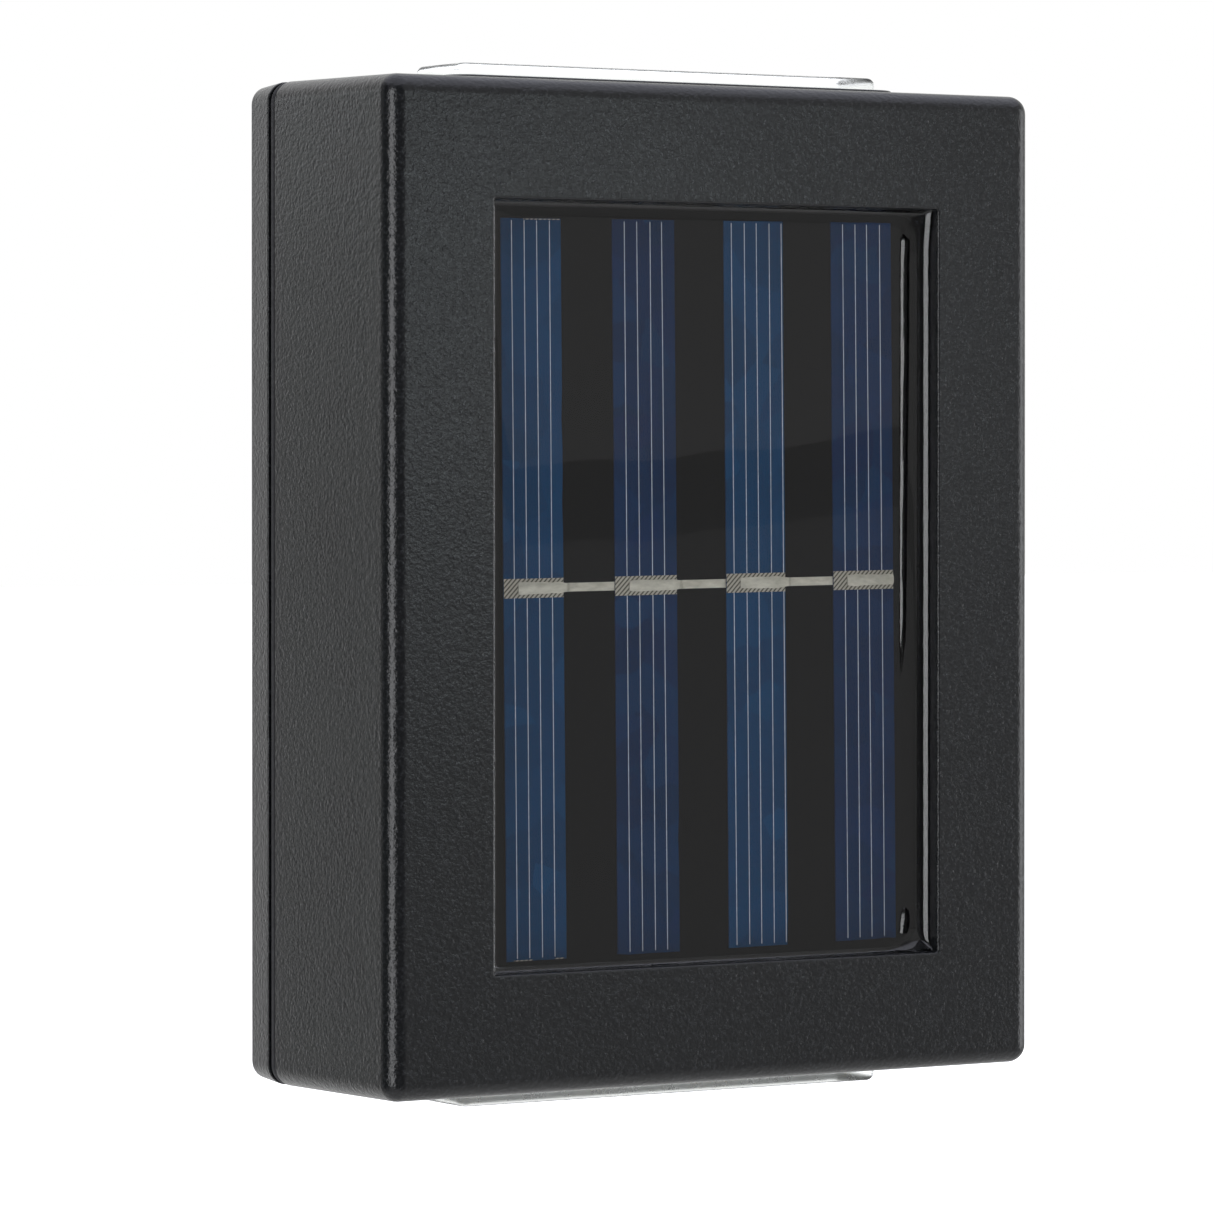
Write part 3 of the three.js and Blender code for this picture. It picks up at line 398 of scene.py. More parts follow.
def clear_lens():
    """Clear moulded polycarbonate with a faint green cast and a light moulding haze."""
    material, tree, shader = new_material("clear_lens", IOR=1.12, Transmission_Weight=1.0)
    tint = noise_node(tree, 120, 2, 0.5)
    tree.links.new(mixed(tree, tint, (0.93, 0.96, 0.94), (0.97, 0.98, 0.97)), shader.inputs["Base Color"])
    haze = noise_node(tree, 700, 3, 0.6)
    tree.links.new(math_node(tree, "MULTIPLY_ADD", haze, 0.12, 0.22), shader.inputs["Roughness"])
    set_bump(tree, shader, noise_node(tree, 260, 2, 0.5), 0.00002, 0.5)
    return material


# Dark and light tone, roughness, scale of the grain and depth of its relief in metres
GRAINED = {
    "silver_line": ((0.42, 0.48, 0.52), (0.60, 0.66, 0.70), 0.6, 1900, 0.00001),
    "seam_gasket": ((0.018, 0.018, 0.020), (0.028, 0.028, 0.030), 0.6, 2200, 0.00003),
    "lens_gasket": ((0.02, 0.02, 0.021), (0.035, 0.035, 0.037), 0.65, 1800, 0.00003),
    "foam_tape": ((0.55, 0.55, 0.52), (0.72, 0.72, 0.68), 0.8, 2600, 0.00005),
    "panel_board": ((0.0020, 0.0021, 0.0023), (0.0034, 0.0035, 0.0037), 0.5, 700, 0.00001),
    "tinned_ribbon": ((0.42, 0.40, 0.31), (0.66, 0.63, 0.51), 0.5, 1600, 0.00003),
    "lamp_board": ((0.70, 0.71, 0.68), (0.80, 0.81, 0.78), 0.45, 1400, 0.00002),
    "lamp": ((0.62, 0.42, 0.06), (0.80, 0.60, 0.14), 0.25, 900, 0.00002),
    "control_board": ((0.008, 0.075, 0.032), (0.014, 0.11, 0.05), 0.35, 1100, 0.00003),
    "component": ((0.012, 0.012, 0.013), (0.024, 0.024, 0.026), 0.5, 2600, 0.00004),
    "capacitor_can": ((0.62, 0.63, 0.65), (0.78, 0.79, 0.8), 0.3, 1500, 0.00002),
    "switch_body": ((0.012, 0.012, 0.013), (0.022, 0.022, 0.024), 0.5, 2000, 0.00003),
    "switch_knob": ((0.38, 0.39, 0.385), (0.48, 0.49, 0.48), 0.45, 2400, 0.00004),
    "battery_wrap": ((0.012, 0.13, 0.035), (0.02, 0.18, 0.055), 0.28, 700, 0.00002),
    "contact_steel": ((0.52, 0.52, 0.5), (0.70, 0.70, 0.68), 0.32, 2000, 0.00002),
    "screw_steel": ((0.34, 0.34, 0.34), (0.56, 0.56, 0.55), 0.34, 2400, 0.00003),
    "red_lead": ((0.30, 0.012, 0.012), (0.42, 0.02, 0.018), 0.45, 1500, 0.00003),
    "black_lead": ((0.012, 0.012, 0.012), (0.024, 0.024, 0.024), 0.45, 1500, 0.00003),
}
# Metal, stretched grain and shader settings, where a material has them
SPECIAL = {
    "silver_line": {"Specular_IOR_Level": 0.1},
    "seam_gasket": {"Specular_IOR_Level": 0.4},
    "panel_board": {"Specular_IOR_Level": 0.0},
    "tinned_ribbon": {"metallic": 0.15, "stretch": (0.4, 1, 1)},
    "lamp": {"Coat_Weight": 0.8},
    "capacitor_can": {"metallic": 0.9, "stretch": (1, 0.1, 1)},
    "battery_wrap": {"stretch": (0.2, 1, 1), "Coat_Weight": 0.3},
    "contact_steel": {"metallic": 1.0, "stretch": (1, 1, 0.15)},
    "screw_steel": {"metallic": 1.0},
}
BLUES = [(0.0020, 0.037, 0.096), (0.0040, 0.059, 0.146), (0.0060, 0.040, 0.110)]
VIOLETS = [(0.0015, 0.020, 0.064), (0.0030, 0.034, 0.098), (0.0060, 0.018, 0.078)]
MATERIALS = {name: grained(name, *row, **SPECIAL.get(name, {})) for name, row in GRAINED.items()}
MATERIALS["black_abs"] = black_abs()
MATERIALS["potting_resin"] = potting_resin()
MATERIALS["silver_print"] = silver_print()
MATERIALS["clear_lens"] = clear_lens()
MATERIALS["silicon_blue"] = silicon("silicon_blue", *BLUES)
MATERIALS["silicon_violet"] = silicon("silicon_violet", *VIOLETS)


# ---------------------------------------------------------------- front housing
def arc_insets(radius, steps):
    """Insets and drops along a quarter round, from its side to its top."""
    angles = [math.pi / 2 * step / steps for step in range(steps + 1)]
    return [(radius * (1 - math.cos(angle)), radius * math.sin(angle)) for angle in angles]


def housing_loops():
    """From the pocket floor over the rim, the face, the round edge and the side to the inside."""
    def outer(inset, y):
        inset += DRAFT * (SHELL_BACK - y) / (SHELL_BACK - FRONT)
        return rounded_loop(HALF_X - inset, HALF_Z - inset, CORNER - min(inset, CORNER - 0.2 * MM), y)

    def pocket(grow, y):
        return rounded_loop(WINDOW_X + grow, WINDOW_Z + grow, WINDOW_CORNER + grow, y)

    def inner(half_x, half_z, y):
        return rounded_loop(half_x, half_z, 0.4 * MM, y)

    loops = [pocket(0, POCKET_BACK)]
    for inset, drop in arc_insets(RIM, 4):
        loops.append(pocket(inset, FRONT + RIM - drop))
    for inset, drop in reversed(arc_insets(FILLET, 14)):
        loops.append(outer(inset, FRONT + FILLET - drop))
    edge = 0.07 * MM
    for inset, drop in arc_insets(edge, 3):
        loops.append(outer(inset, SHELL_BACK - edge + drop))
    tray_x = WINDOW_X + TRAY_WALL
    tray_z = WINDOW_Z + TRAY_WALL
    loops.append(inner(INNER_X, INNER_Z, SHELL_BACK))
    loops.append(inner(INNER_X, INNER_Z, FRONT + FRONT_WALL))
    loops.append(inner(tray_x, tray_z, FRONT + FRONT_WALL))
    loops.append(inner(tray_x, tray_z, TRAY_BACK))
    return loops


def lens_loop(size, grow, level):
    """A loop round a lens at one height. The size holds half length, half depth and corner."""
    half_x, half_y, corner = size
    return rounded_loop(half_x + grow, half_y + grow, corner + grow, level, "z", LENS_Y)


def lens_collar(side):
    """The low collar round a lens, rounded at its edge, down into the wall."""
    edge = 0.25 * MM
    loops = []
    for inset, drop in reversed(arc_insets(edge, 4)):
        loops.append(lens_loop(COLLAR, -inset, side * (HOUSING_HIGH.z - edge + drop)))
    loops.append(lens_loop(COLLAR, 0, side * (HALF_Z - WALL / 2)))
    return new_object("tool", *loft(loops))


def lens_opening(side):
    """The hole that a lens stands in, with a rounded outer edge."""
    edge = 0.2 * MM
    loops = [lens_loop(OPENING, 0, side * (HALF_Z - 2 * WALL))]
    for grow, drop in arc_insets(edge, 4):
        loops.append(lens_loop(OPENING, grow, side * (HOUSING_HIGH.z - edge + drop)))
    loops.append(lens_loop(OPENING, edge, side * (HALF_Z + 2 * MM)))
    return new_object("tool", *loft(loops))


def build_front_housing():
    """The front housing: a skin of its own outside, and the inside of its CAD solid."""
    shell = new_object("front_housing_shell", *loft(housing_loops()))
    inside = copy_of("front_housing", "inside")
    reach = 0.5 * MM
    low = (-INNER_X - reach, FRONT + FRONT_WALL - reach, -INNER_Z - reach)
    high = (INNER_X + reach, SHELL_BACK, INNER_Z + reach)
    combine(inside, block(low, high), "INTERSECT")
    combine(shell, inside, "UNION")
    for side in (1, -1):
        combine(shell, lens_collar(side), "UNION")
        combine(shell, lens_opening(side), "DIFFERENCE")
    x, z, radius = LEAD_HOLE
    combine(shell, turned(x, z, [(radius, POCKET_BACK - MM), (radius, TRAY_BACK + MM)]), "DIFFERENCE")
    shell.data.materials.clear()
    shell.data.materials.append(MATERIALS["black_abs"])
    smooth(shell)
    return finish_piece(shell, ["front_housing"])


# ---------------------------------------------------------------- rear cover and seam
def keyhole_loop(grow, y):
    """The outline of the keyhole: a round head with a slot that rises from it."""
    head = KEYHOLE_HEAD + grow
    slot = KEYHOLE_SLOT + grow
    turn = math.asin(slot / head)
    steps = 16
    points = []
    for step in range(steps + 1):
        angle = math.pi / 2 + turn + (2 * math.pi - 2 * turn) * step / steps
        points.append((head * math.cos(angle), y, KEYHOLE_LOW + head * math.sin(angle)))
    for step in range(steps + 1):
        angle = math.pi * step / steps
        points.append((slot * math.cos(angle), y, KEYHOLE_HIGH + slot * math.sin(angle)))
    return points


def cover_tools():
    """Keyhole, switch well with its stem slot, and four screw cups, each with a broken edge."""
    soft = 0.2 * MM
    out = 1.0 * MM
    flare = [(0, -soft), (0.06 * MM, -0.08 * MM), (soft, 0), (soft + out, out)]
    keyhole = [keyhole_loop(0, -3 * MM)] + [keyhole_loop(grow, y) for grow, y in flare]
    yield new_object("tool", *loft(keyhole))
    half_x, half_z, corner = WELL
    well = [rounded_loop(half_x, half_z, corner, -2.6 * MM, "y", WELL_Z)]
    for grow, y in flare:
        well.append(rounded_loop(half_x + grow, half_z + grow, corner + grow, y, "y", WELL_Z))
    yield new_object("tool", *loft(well))
    yield prism(*STEM_SLOT, -5 * MM, -1 * MM, WELL_Z)
    for x in (-SCREW_X, SCREW_X):
        for z in (-SCREW_Z, SCREW_Z):
            cup = [(SCREW_HOLE, -20 * MM), (SCREW_HOLE, CUP_FLOOR), (SCREW_CUP, CUP_FLOOR)]
            cup += [(SCREW_CUP + grow, y) for grow, y in flare]
            yield turned(x, z, cup)


def build_rear_cover():
    """The rear cover: a drafted plate with a soft back edge, and the inside of its CAD solid."""
    seam_edge = 0.15 * MM
    back_edge = 0.35 * MM
    loops = []
    for inset, drop in reversed(arc_insets(seam_edge, 3)):
        y = SEAM_Y + seam_edge - drop
        loops.append(rounded_loop(HALF_X - inset, HALF_Z - inset, CORNER - inset, y))
    for inset, drop in arc_insets(back_edge, 6):
        inset += COVER_DRAFT - 0.5 * back_edge
        loops.append(rounded_loop(HALF_X - inset, HALF_Z - inset, CORNER - inset, drop - back_edge))
    cover = new_object("rear_cover_shell", *loft(loops))
    lip_x = INNER_X - 1.5 * MM
    lip_z = INNER_Z - 1.5 * MM
    combine(cover, block((-lip_x, -9 * MM, -lip_z), (lip_x, -2 * MM, lip_z)), "DIFFERENCE")
    inside = copy_of("rear_cover", "inside")
    reach = INNER_X - 0.3 * MM
    rise = INNER_Z - 0.3 * MM
    combine(inside, block((-reach, -30 * MM, -rise), (reach, -1 * MM, rise)), "INTERSECT")
    combine(cover, inside, "UNION")
    for tool in cover_tools():
        combine(cover, tool, "DIFFERENCE")
    cover.data.materials.clear()
    cover.data.materials.append(MATERIALS["black_abs"])
    smooth(cover)
    finish_piece(cover, ["rear_cover"])


def build_gasket():
    """The seam bead: a soft ring whose outer side is rounded."""
    middle = (GASKET_LOW.y + GASKET_HIGH.y) / 2
    half = (GASKET_HIGH.y - GASKET_LOW.y) / 2
    steps = 8
    loops = []
    for step in range(steps + 1):
        angle = math.pi * step / steps
        inset = 0.28 * MM * (1 - math.sin(angle)) + 0.04 * MM
        y = middle - half * math.cos(angle)
        loops.append(rounded_loop(HALF_X - inset, HALF_Z - inset, CORNER - inset, y))
    for y in (GASKET_HIGH.y, GASKET_LOW.y):
        loops.append(rounded_loop(HALF_X - WALL, HALF_Z - WALL, 0.6 * MM, y))
    gasket = new_object("seam_gasket_bead", *loft(loops, ring=True), [MATERIALS["seam_gasket"]])
    smooth(gasket, 40)
    finish_piece(gasket, ["housing_gasket"])


# ---------------------------------------------------------------- lenses
def build_lens(place, side):
    """A clear lens: a hollow crown with rounded edges on a flange."""
    low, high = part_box(place + "_lens")
    top = max(abs(low.z), abs(high.z))
    base = min(abs(low.z), abs(high.z))
    ledge = 2 * MM
    flange_x = high.x
    flange_y = (high.y - low.y) / 2
    flange_top = base + 1.4 * MM
    crown_x = flange_x - ledge
    crown_y = flange_y - ledge
    corner = 1.3 * MM
    edge = 0.8 * MM
    foot = 0.3 * MM
    break_edge = 0.1 * MM
    wall = 1.6 * MM
    inner_x = crown_x - wall
    inner_y = crown_y - wall
    inner_corner = 0.9 * MM
    inner_edge = 0.5 * MM
    loops = []
    for inset, drop in reversed(arc_insets(edge, 8)):
        radius = max(corner - inset, 0.3 * MM)
        loops.append((crown_x - inset, crown_y - inset, radius, top - edge + drop))
    loops.append((crown_x, crown_y, corner, flange_top + foot))
    loops.append((crown_x + foot, crown_y + foot, corner, flange_top))
    loops.append((flange_x - break_edge, flange_y - break_edge, corner, flange_top))
    loops.append((flange_x, flange_y, corner, flange_top - break_edge))
    loops.append((flange_x, flange_y, corner, base))
    loops.append((inner_x, inner_y, inner_corner, base))
    loops.append((inner_x, inner_y, inner_corner, top - wall - inner_edge))
    loops.append((inner_x - inner_edge, inner_y - inner_edge, inner_edge, top - wall))
    points = [rounded_loop(x, y, r, side * z, "z", LENS_Y) for x, y, r, z in loops]
    lens = new_object(place + "_lens_crown", *loft(points), [MATERIALS["clear_lens"]])
    smooth(lens, 40)
    finish_piece(lens, [place + "_lens"])


# ---------------------------------------------------------------- resin
RESIN_FLAT = RESIN_LOW.y + 1.0 * MM
RESIN_HIGHEST = FRONT + 0.3 * MM
# How far the resin reaches into the wall and into the board, so that no air gap shows
RESIN_TOUCH = 0.04 * MM
RESIN_SINK = 0.03 * MM
# The run down the right side: its crest at mid height, how it leans, and its two ends
RUN_X, RUN_LEAN = 25.0 * MM, 0.0045
RUN_LOW, RUN_HIGH = -11.0 * MM, 38.0 * MM
# The drop near the bottom right corner: its place, how it leans, and its height
DROP_X, DROP_Z, DROP_LEAN = 25.2 * MM, -37.2 * MM, 0.12
DROP_LOW, DROP_TALL = -38.6 * MM, 2.8 * MM
# Slope of the surface in degrees at distances from the wall in millimetres
SLOPES = [(0.0, 66), (0.12, 54), (0.34, 45), (0.54, 39), (0.66, 27), (1.1, 9), (1.6, 3), (3.0, 0)]


def climb_table():
    """Distances from the wall and the height of the resin there, summed up from its slopes."""
    distances = [distance for distance, _ in SLOPES]
    slopes = [degrees for _, degrees in SLOPES]
    steps = 300
    places = [distances[-1] * i / steps for i in range(steps + 1)]
    heights = [0.0]
    for near, far in zip(reversed(places[:-1]), reversed(places[1:])):
        degrees = np.interp((near + far) / 2, distances, slopes)
        heights.append(heights[-1] + (far - near) * math.tan(math.radians(degrees)))
    return [d * MM for d in places], [h * MM for h in reversed(heights)]


CLIMB = climb_table()


def meniscus(distance):
    """How far the resin climbs at a distance from the wall. Beyond the wall it goes on climbing."""
    if distance < 0:
        return CLIMB[1][0] - distance * math.tan(math.radians(SLOPES[0][1]))
    return float(np.interp(distance, *CLIMB))


def bell(value, centre, width):
    return math.exp(-((value - centre) / width) ** 2 / 2)


def ridge(away, size):
    """Height of a ridge of resin beside its crest: steep on its left, gentle on its right."""
    if size < 0.05:
        return 0.0
    tall = 0.31 * MM * size
    left = 0.31 * MM * size
    right = 0.85 * MM * size
    share = 1 + away / left if away < 0 else 1 - away / right
    return tall * max(share, 0.0)


def run_size(z):
    """Size of the run at a height: larger towards the top, fading out at both ends."""
    size = min(0.72 + (z + 9 * MM) / (110 * MM), 1.05)
    top_end = max((RUN_HIGH - z) / (0.7 * MM), 0)
    low_end = max((z - RUN_LOW) / (5 * MM), 0)
    return size * min(top_end, low_end, 1)


def drop_size(z):
    """Size of the drop at a height: an ellipse, fullest a little below its middle."""
    share = (z - DROP_LOW) / DROP_TALL
    if not 0 < share < 1:
        return 0.0
    return 1.1 * math.sqrt(max(1 - abs(2 * share - 0.8) ** 2 / 1.44, 0))


def resin_depth(x, z):
    """Y of the resin's surface: flat, climbing the walls, with a run down the right and a drop."""
    # Along the bottom the climb is small, and it grows towards the right corner
    low_spread = 0.28 + 1.5 / (1 + math.exp(-(x - 25.4 * MM) / (0.8 * MM)))
    sides = [
        meniscus(WINDOW_X - x),
        meniscus((WINDOW_X + x) * 0.8) / 0.8,
        meniscus((WINDOW_Z - z) / 0.7) * 0.7,
        meniscus((WINDOW_Z + z) / low_spread) * low_spread,
    ]
    climb = sum(side ** 3 for side in sides) ** (1 / 3)
    climb += 0.55 * MM * bell(x, WINDOW_X, 1.7 * MM) * bell(z, WINDOW_Z, 2.0 * MM)
    climb += ridge(x - (RUN_X + RUN_LEAN * z), run_size(z))
    climb += ridge(x - DROP_X - DROP_LEAN * (z - DROP_Z), drop_size(z))
    waves = 0.006 * MM * noise.noise(Vector((x * 90, z * 70, 0.3)))
    return max(RESIN_FLAT - climb + waves, RESIN_HIGHEST)


def graded(half, extra):
    """Grid lines from wall to wall, close together near the walls and round the extra places."""
    fine = 0.06 * MM
    growth = 0.9 * MM
    reach = 6 * MM
    near = 1.6 * MM
    places = {half}
    place = half
    while place > 0:
        step = fine + growth * min((half - place) / reach, 1)
        if any(abs(place - spot) < near for spot in extra):
            step = min(step, fine)
        place -= step
        places.add(max(place, 0.0))
    positive = sorted(places)
    return [-value for value in reversed(positive) if value > 0] + positive


def build_resin():
    """The cast resin: a fine grid for its surface, and a skirt down into the board."""
    xs = graded(WINDOW_X + RESIN_TOUCH, [DROP_X])
    zs = graded(WINDOW_Z + RESIN_TOUCH, [36.6 * MM, 37.9 * MM])
    back = BOARD_LOW.y + RESIN_SINK
    vertices = [(x, resin_depth(x, z), z) for z in zs for x in xs]
    count = len(vertices)
    wide = len(xs)
    tall = len(zs)
    faces = []
    for row in range(tall - 1):
        for column in range(wide - 1):
            a = row * wide + column
            faces.append((a, a + 1, a + wide + 1, a + wide))
    border = list(range(wide))
    border += [row * wide + wide - 1 for row in range(1, tall)]
    border += [(tall - 1) * wide + column for column in range(wide - 2, -1, -1)]
    border += [row * wide for row in range(tall - 2, 0, -1)]
    vertices += [(vertices[i][0], back, vertices[i][2]) for i in border]
    total = len(border)
    for i in range(total):
        j = (i + 1) % total
        faces.append((border[j], border[i], count + i, count + j))
    faces.append(tuple(count + i for i in range(total)))
    resin = new_object("panel_resin_pour", vertices, faces, [MATERIALS["potting_resin"]])
    smooth(resin, 50, weighted=False)
    finish_piece(resin, ["panel_resin"])


# ---------------------------------------------------------------- solar strips
# Places of the printed silver lines on each strip, in millimetres from its left edge
FINGERS = [
    [1.33, 2.85, 4.42, 5.96],
    [1.51, 3.10, 4.72, 6.25],
    [1.00, 2.64, 4.19, 5.81, 7.37],
    [1.57, 3.16, 4.74, 6.38],
]
PAD_TOP = 1.17 * MM
PAD_BOTTOM = -0.88 * MM
RIBBON_RISE = 0.15 * MM
RIBBON_THICKNESS = 0.1 * MM
PRINT = 0.02 * MM
PRINT_SINK = 0.001 * MM
LINE_HALF = 0.048 * MM
RIBBON_ROWS, RIBBON_COLUMNS = 90, 8
# Material slots of a strip's mesh
SILICON, PAD, LINE = 0, 1, 2


def strip_size(index):
    """Centre, width and height of a strip, worked out from the box of the leaning solid."""
    low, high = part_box(f"solar_cell_{index + 1}")
    sine = math.sin(abs(LEAN))
    cosine = math.cos(LEAN)
    span_x = high.x - low.x
    span_z = high.z - low.z
    turn = cosine * cosine - sine * sine
    width = (span_x * cosine - span_z * sine) / turn
    height = (span_z * cosine - span_x * sine) / turn
    return (low + high) / 2, width, height


def leaned(points, centre):
    """Turns points given about a strip's centre by the lean, and puts them in place."""
    cosine = math.cos(LEAN)
    sine = math.sin(LEAN)
    placed = []
    for x, y, z in points:
        placed.append((centre.x + x * cosine + z * sine, y, centre.z - x * sine + z * cosine))
    return placed


def slab(outline, front, back):
    """A flat piece from an outline of X and Z places."""
    count = len(outline)
    vertices = [(x, front, z) for x, z in outline] + [(x, back, z) for x, z in outline]
    faces = [tuple(range(count)), tuple(reversed(range(count, 2 * count)))]
    for i in range(count):
        j = (i + 1) % count
        faces.append((j, i, count + i, count + j))
    return vertices, faces


def chip(rng):
    """How far a snapped edge falls short of a straight line at one point."""
    return -abs(rng.gauss(0, 0.012 * MM)) - (0.1 * MM if rng.random() < 0.03 else 0)


def broken_edge(half_x, half_z, rng):
    """The outline of a hand-snapped strip: nearly straight, with small chips."""
    outline = []
    rows = 26
    columns = 6
    for i in range(rows):
        outline.append((half_x + chip(rng), -half_z + 2 * half_z * i / rows))
    for i in range(columns):
        outline.append((half_x - 2 * half_x * i / columns, half_z + chip(rng)))
    for i in range(rows):
        outline.append((-half_x - chip(rng), half_z - 2 * half_z * i / rows))
    for i in range(columns):
        outline.append((-half_x + 2 * half_x * i / columns, -half_z - chip(rng)))
    return outline


def rectangle(x0, z0, x1, z1):
    return [(x0, z0), (x1, z0), (x1, z1), (x0, z1)]


def printed_lines(index, half_x, half_z, rng):
    """Outlines of the thin silver lines, which stop at the pad and short of the strip's ends."""
    for place in FINGERS[index]:
        x = -half_x + place * MM
        lean = rng.uniform(-0.05, 0.05) * MM
        for low, high in ((-half_z + 0.3 * MM, PAD_BOTTOM), (PAD_TOP, half_z - 0.25 * MM)):
            left = x - LINE_HALF
            right = x + LINE_HALF
            yield [(left, low), (right, low), (right + lean, high), (left + lean, high)]


def printed_pads(index, half_x, half_z):
    """Outlines of the pad across the middle and, on the first strip, of the slivers at its ends."""
    yield rectangle(-half_x + 0.02 * MM, PAD_BOTTOM, half_x - 0.02 * MM, PAD_TOP)
    if index > 0:
        return
    yield rectangle(-half_x + 2.8 * MM, half_z - 0.14 * MM, half_x - 0.1 * MM, half_z - 0.05 * MM)
    for start, length in ((0.9 * MM, 2.3 * MM), (5.9 * MM, 1.2 * MM)):
        left = -half_x + start
        yield rectangle(left, -half_z + 0.03 * MM, left + length, -half_z + 0.13 * MM)


def build_strip(index):
    """A silicon strip with its printed pad and lines, which stand a little proud of it."""
    rng = random.Random(20 + index)
    centre, width, height = strip_size(index)
    low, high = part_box(f"solar_cell_{index + 1}")
    half_x = width / 2
    half_z = height / 2
    parts = [(broken_edge(half_x, half_z, rng), low.y, high.y, SILICON)]
    printed = [(outline, LINE) for outline in printed_lines(index, half_x, half_z, rng)]
    printed += [(outline, PAD) for outline in printed_pads(index, half_x, half_z)]
    parts += [(outline, low.y - PRINT, low.y - PRINT_SINK, material) for outline, material in printed]
    vertices, faces, indices = [], [], []
    for outline, near, far, material in parts:
        points, polygons = slab(outline, near, far)
        start = len(vertices)
        vertices += leaned(points, centre)
        faces += [tuple(start + i for i in face) for face in polygons]
        indices += [material] * len(polygons)
    blue = "silicon_blue" if index in (0, 2) else "silicon_violet"
    materials = [MATERIALS[name] for name in (blue, "silver_print", "silver_line")]
    strip = new_object(f"solar_strip_{index + 1}", vertices, faces, materials, indices)
    finish_piece(strip, [f"solar_cell_{index + 1}"])


def fade(value, place, width):
    """A smooth step from 1 to 0 at a place."""
    return 1 / (1 + math.exp((value - place) / width))


def ribbon_rows(index):
    """Front and back points of a ribbon about its strip's centre, row by row along its length."""
    rng = random.Random(40 + index)
    centre, width, _ = strip_size(index)
    low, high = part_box(f"cell_ribbon_{index + 1}")
    over = low.y
    under = high.y - RIBBON_THICKNESS
    pad_end = centre.x + width / 2
    bend = pad_end + 0.6 * MM
    seed = rng.uniform(0, 50)
    front, back = [], []
    for row in range(RIBBON_ROWS + 1):
        x = low.x + (high.x - low.x) * row / RIBBON_ROWS
        step = 0.0 if index == STRIPS[-1] else fade(-x, -bend, 0.1 * MM)
        on_pad = fade(x, pad_end - 0.1 * MM, 0.15 * MM)
        half = (0.46 + 0.14 * on_pad) * MM
        half += 0.10 * MM * on_pad * noise.noise(Vector((x * 900, seed, 0.5)))
        ends = min((x - low.x), (high.x - x)) / (0.12 * MM)
        half *= math.sqrt(min(1.0, 0.6 + ends))
        level = over + (under - over) * step
        for column in range(RIBBON_COLUMNS + 1):
            share = column / RIBBON_COLUMNS * 2 - 1
            z = share * half + RIBBON_RISE
            lump = 0.08 * MM * on_pad * (0.55 + noise.noise(Vector((x * 1100, z * 1500, seed))))
            crown = (0.03 * MM + max(lump, 0)) * (1 - share * share)
            front.append((x - centre.x, level - crown + 0.02 * MM * abs(share), z))
            back.append((x - centre.x, level + RIBBON_THICKNESS, z))
    return leaned(front, centre), leaned(back, centre)


def build_ribbon(index):
    """A tinned ribbon: lumpy with solder on the pad, flat across the gap, tucked under the next strip."""
    front, back = ribbon_rows(index)
    offset = len(front)
    wide = RIBBON_COLUMNS + 1
    faces = []
    for row in range(RIBBON_ROWS):
        for column in range(RIBBON_COLUMNS):
            a = row * wide + column
            faces.append((a, a + wide, a + wide + 1, a + 1))
            faces.append((offset + a, offset + a + 1, offset + a + wide + 1, offset + a + wide))
    border = [row * wide for row in range(RIBBON_ROWS + 1)]
    border += [RIBBON_ROWS * wide + column for column in range(1, wide)]
    border += [row * wide + wide - 1 for row in range(RIBBON_ROWS - 1, -1, -1)]
    border += list(range(wide - 2, 0, -1))
    for i, a in enumerate(border):
        b = border[(i + 1) % len(border)]
        faces.append((a, offset + a, offset + b, b))
    ribbon = new_object(f"strip_ribbon_{index + 1}", front + back, faces, [MATERIALS["tinned_ribbon"]])
    smooth(ribbon, 60, weighted=False)
    finish_piece(ribbon, [f"cell_ribbon_{index + 1}"])


# ---------------------------------------------------------------- carried-over CAD nodes
BEVELLED = ("switch_knob", "screw_steel", "switch_body", "component", "lamp", "lamp_board")


def dress_nodes(replaced):
    """Gives every CAD node that still shows its material and smooth rounds, and soft edges to the bevelled
    small parts.
    """
    slots = {part["node"]: part["material_slot"] for part in frame["record"]["subparts"]}
    for name, piece in frame["nodes"].items():
        if name in replaced:
            continue
        slot = slots[name]
        piece.data.materials.clear()
        piece.data.materials.append(MATERIALS[slot])
        weld = piece.modifiers.new("weld", "WELD")
        weld.merge_threshold = 1e-7
        if slot in BEVELLED:
            bevel = piece.modifiers.new("bevel", "BEVEL")
            bevel.width = 0.08 * MM
            bevel.segments = 2
            bevel.limit_method = "ANGLE"
            bevel.angle_limit = math.radians(35)
        piece.data.shade_smooth()
        piece.data.set_sharp_from_angle(angle=math.radians(35))


# ---------------------------------------------------------------- stage
# Brightness of the world's white. Its colours are stated as shares of it, so that they stay below 1
WORLD_STRENGTH = 6.0
# Brightness round the horizon, by azimuth in degrees: 0 is ahead of the front, 90 is towards -X
ROUND_LIGHT = [
    (-180, 1.1), (-125, 0.8), (-90, 0.6), (-52, 0.58), (-20, 0.56), (-13, 0.15), (20, 0.12),
    (43, 0.08), (46, 0.3), (74, 0.3), (78, 0.08), (116, 0.08), (124, 0.36), (148, 0.38),
    (160, 0.95), (168, 1.15), (180, 1.1),
]
BELOW_LIGHT = (0.85, 0.85, 0.85)
ABOVE_LIGHT = (1.35, 1.37, 1.55)
# Strip softboxes: first and last azimuth, soft edge and half height in degrees, and brightness
STRIP_LIGHTS = [(47, 73, 2, 13, 4.8), (-84, -54, 3, 16, 2.8)]
SOFTBOX_TINT = (1.0, 1.01, 1.03)


def shares(colour):
    """A colour as shares of the world's strength."""
    return tuple(value / WORLD_STRENGTH for value in colour)


def by_azimuth(tree, azimuth, stops):
    """A ramp over the whole round, from (azimuth in degrees, value) stops."""
    place = math_node(tree, "MULTIPLY_ADD", azimuth, 1 / 360, 0.5)
    return ramp(tree, place, [((angle + 180) / 360, value) for angle, value in stops])


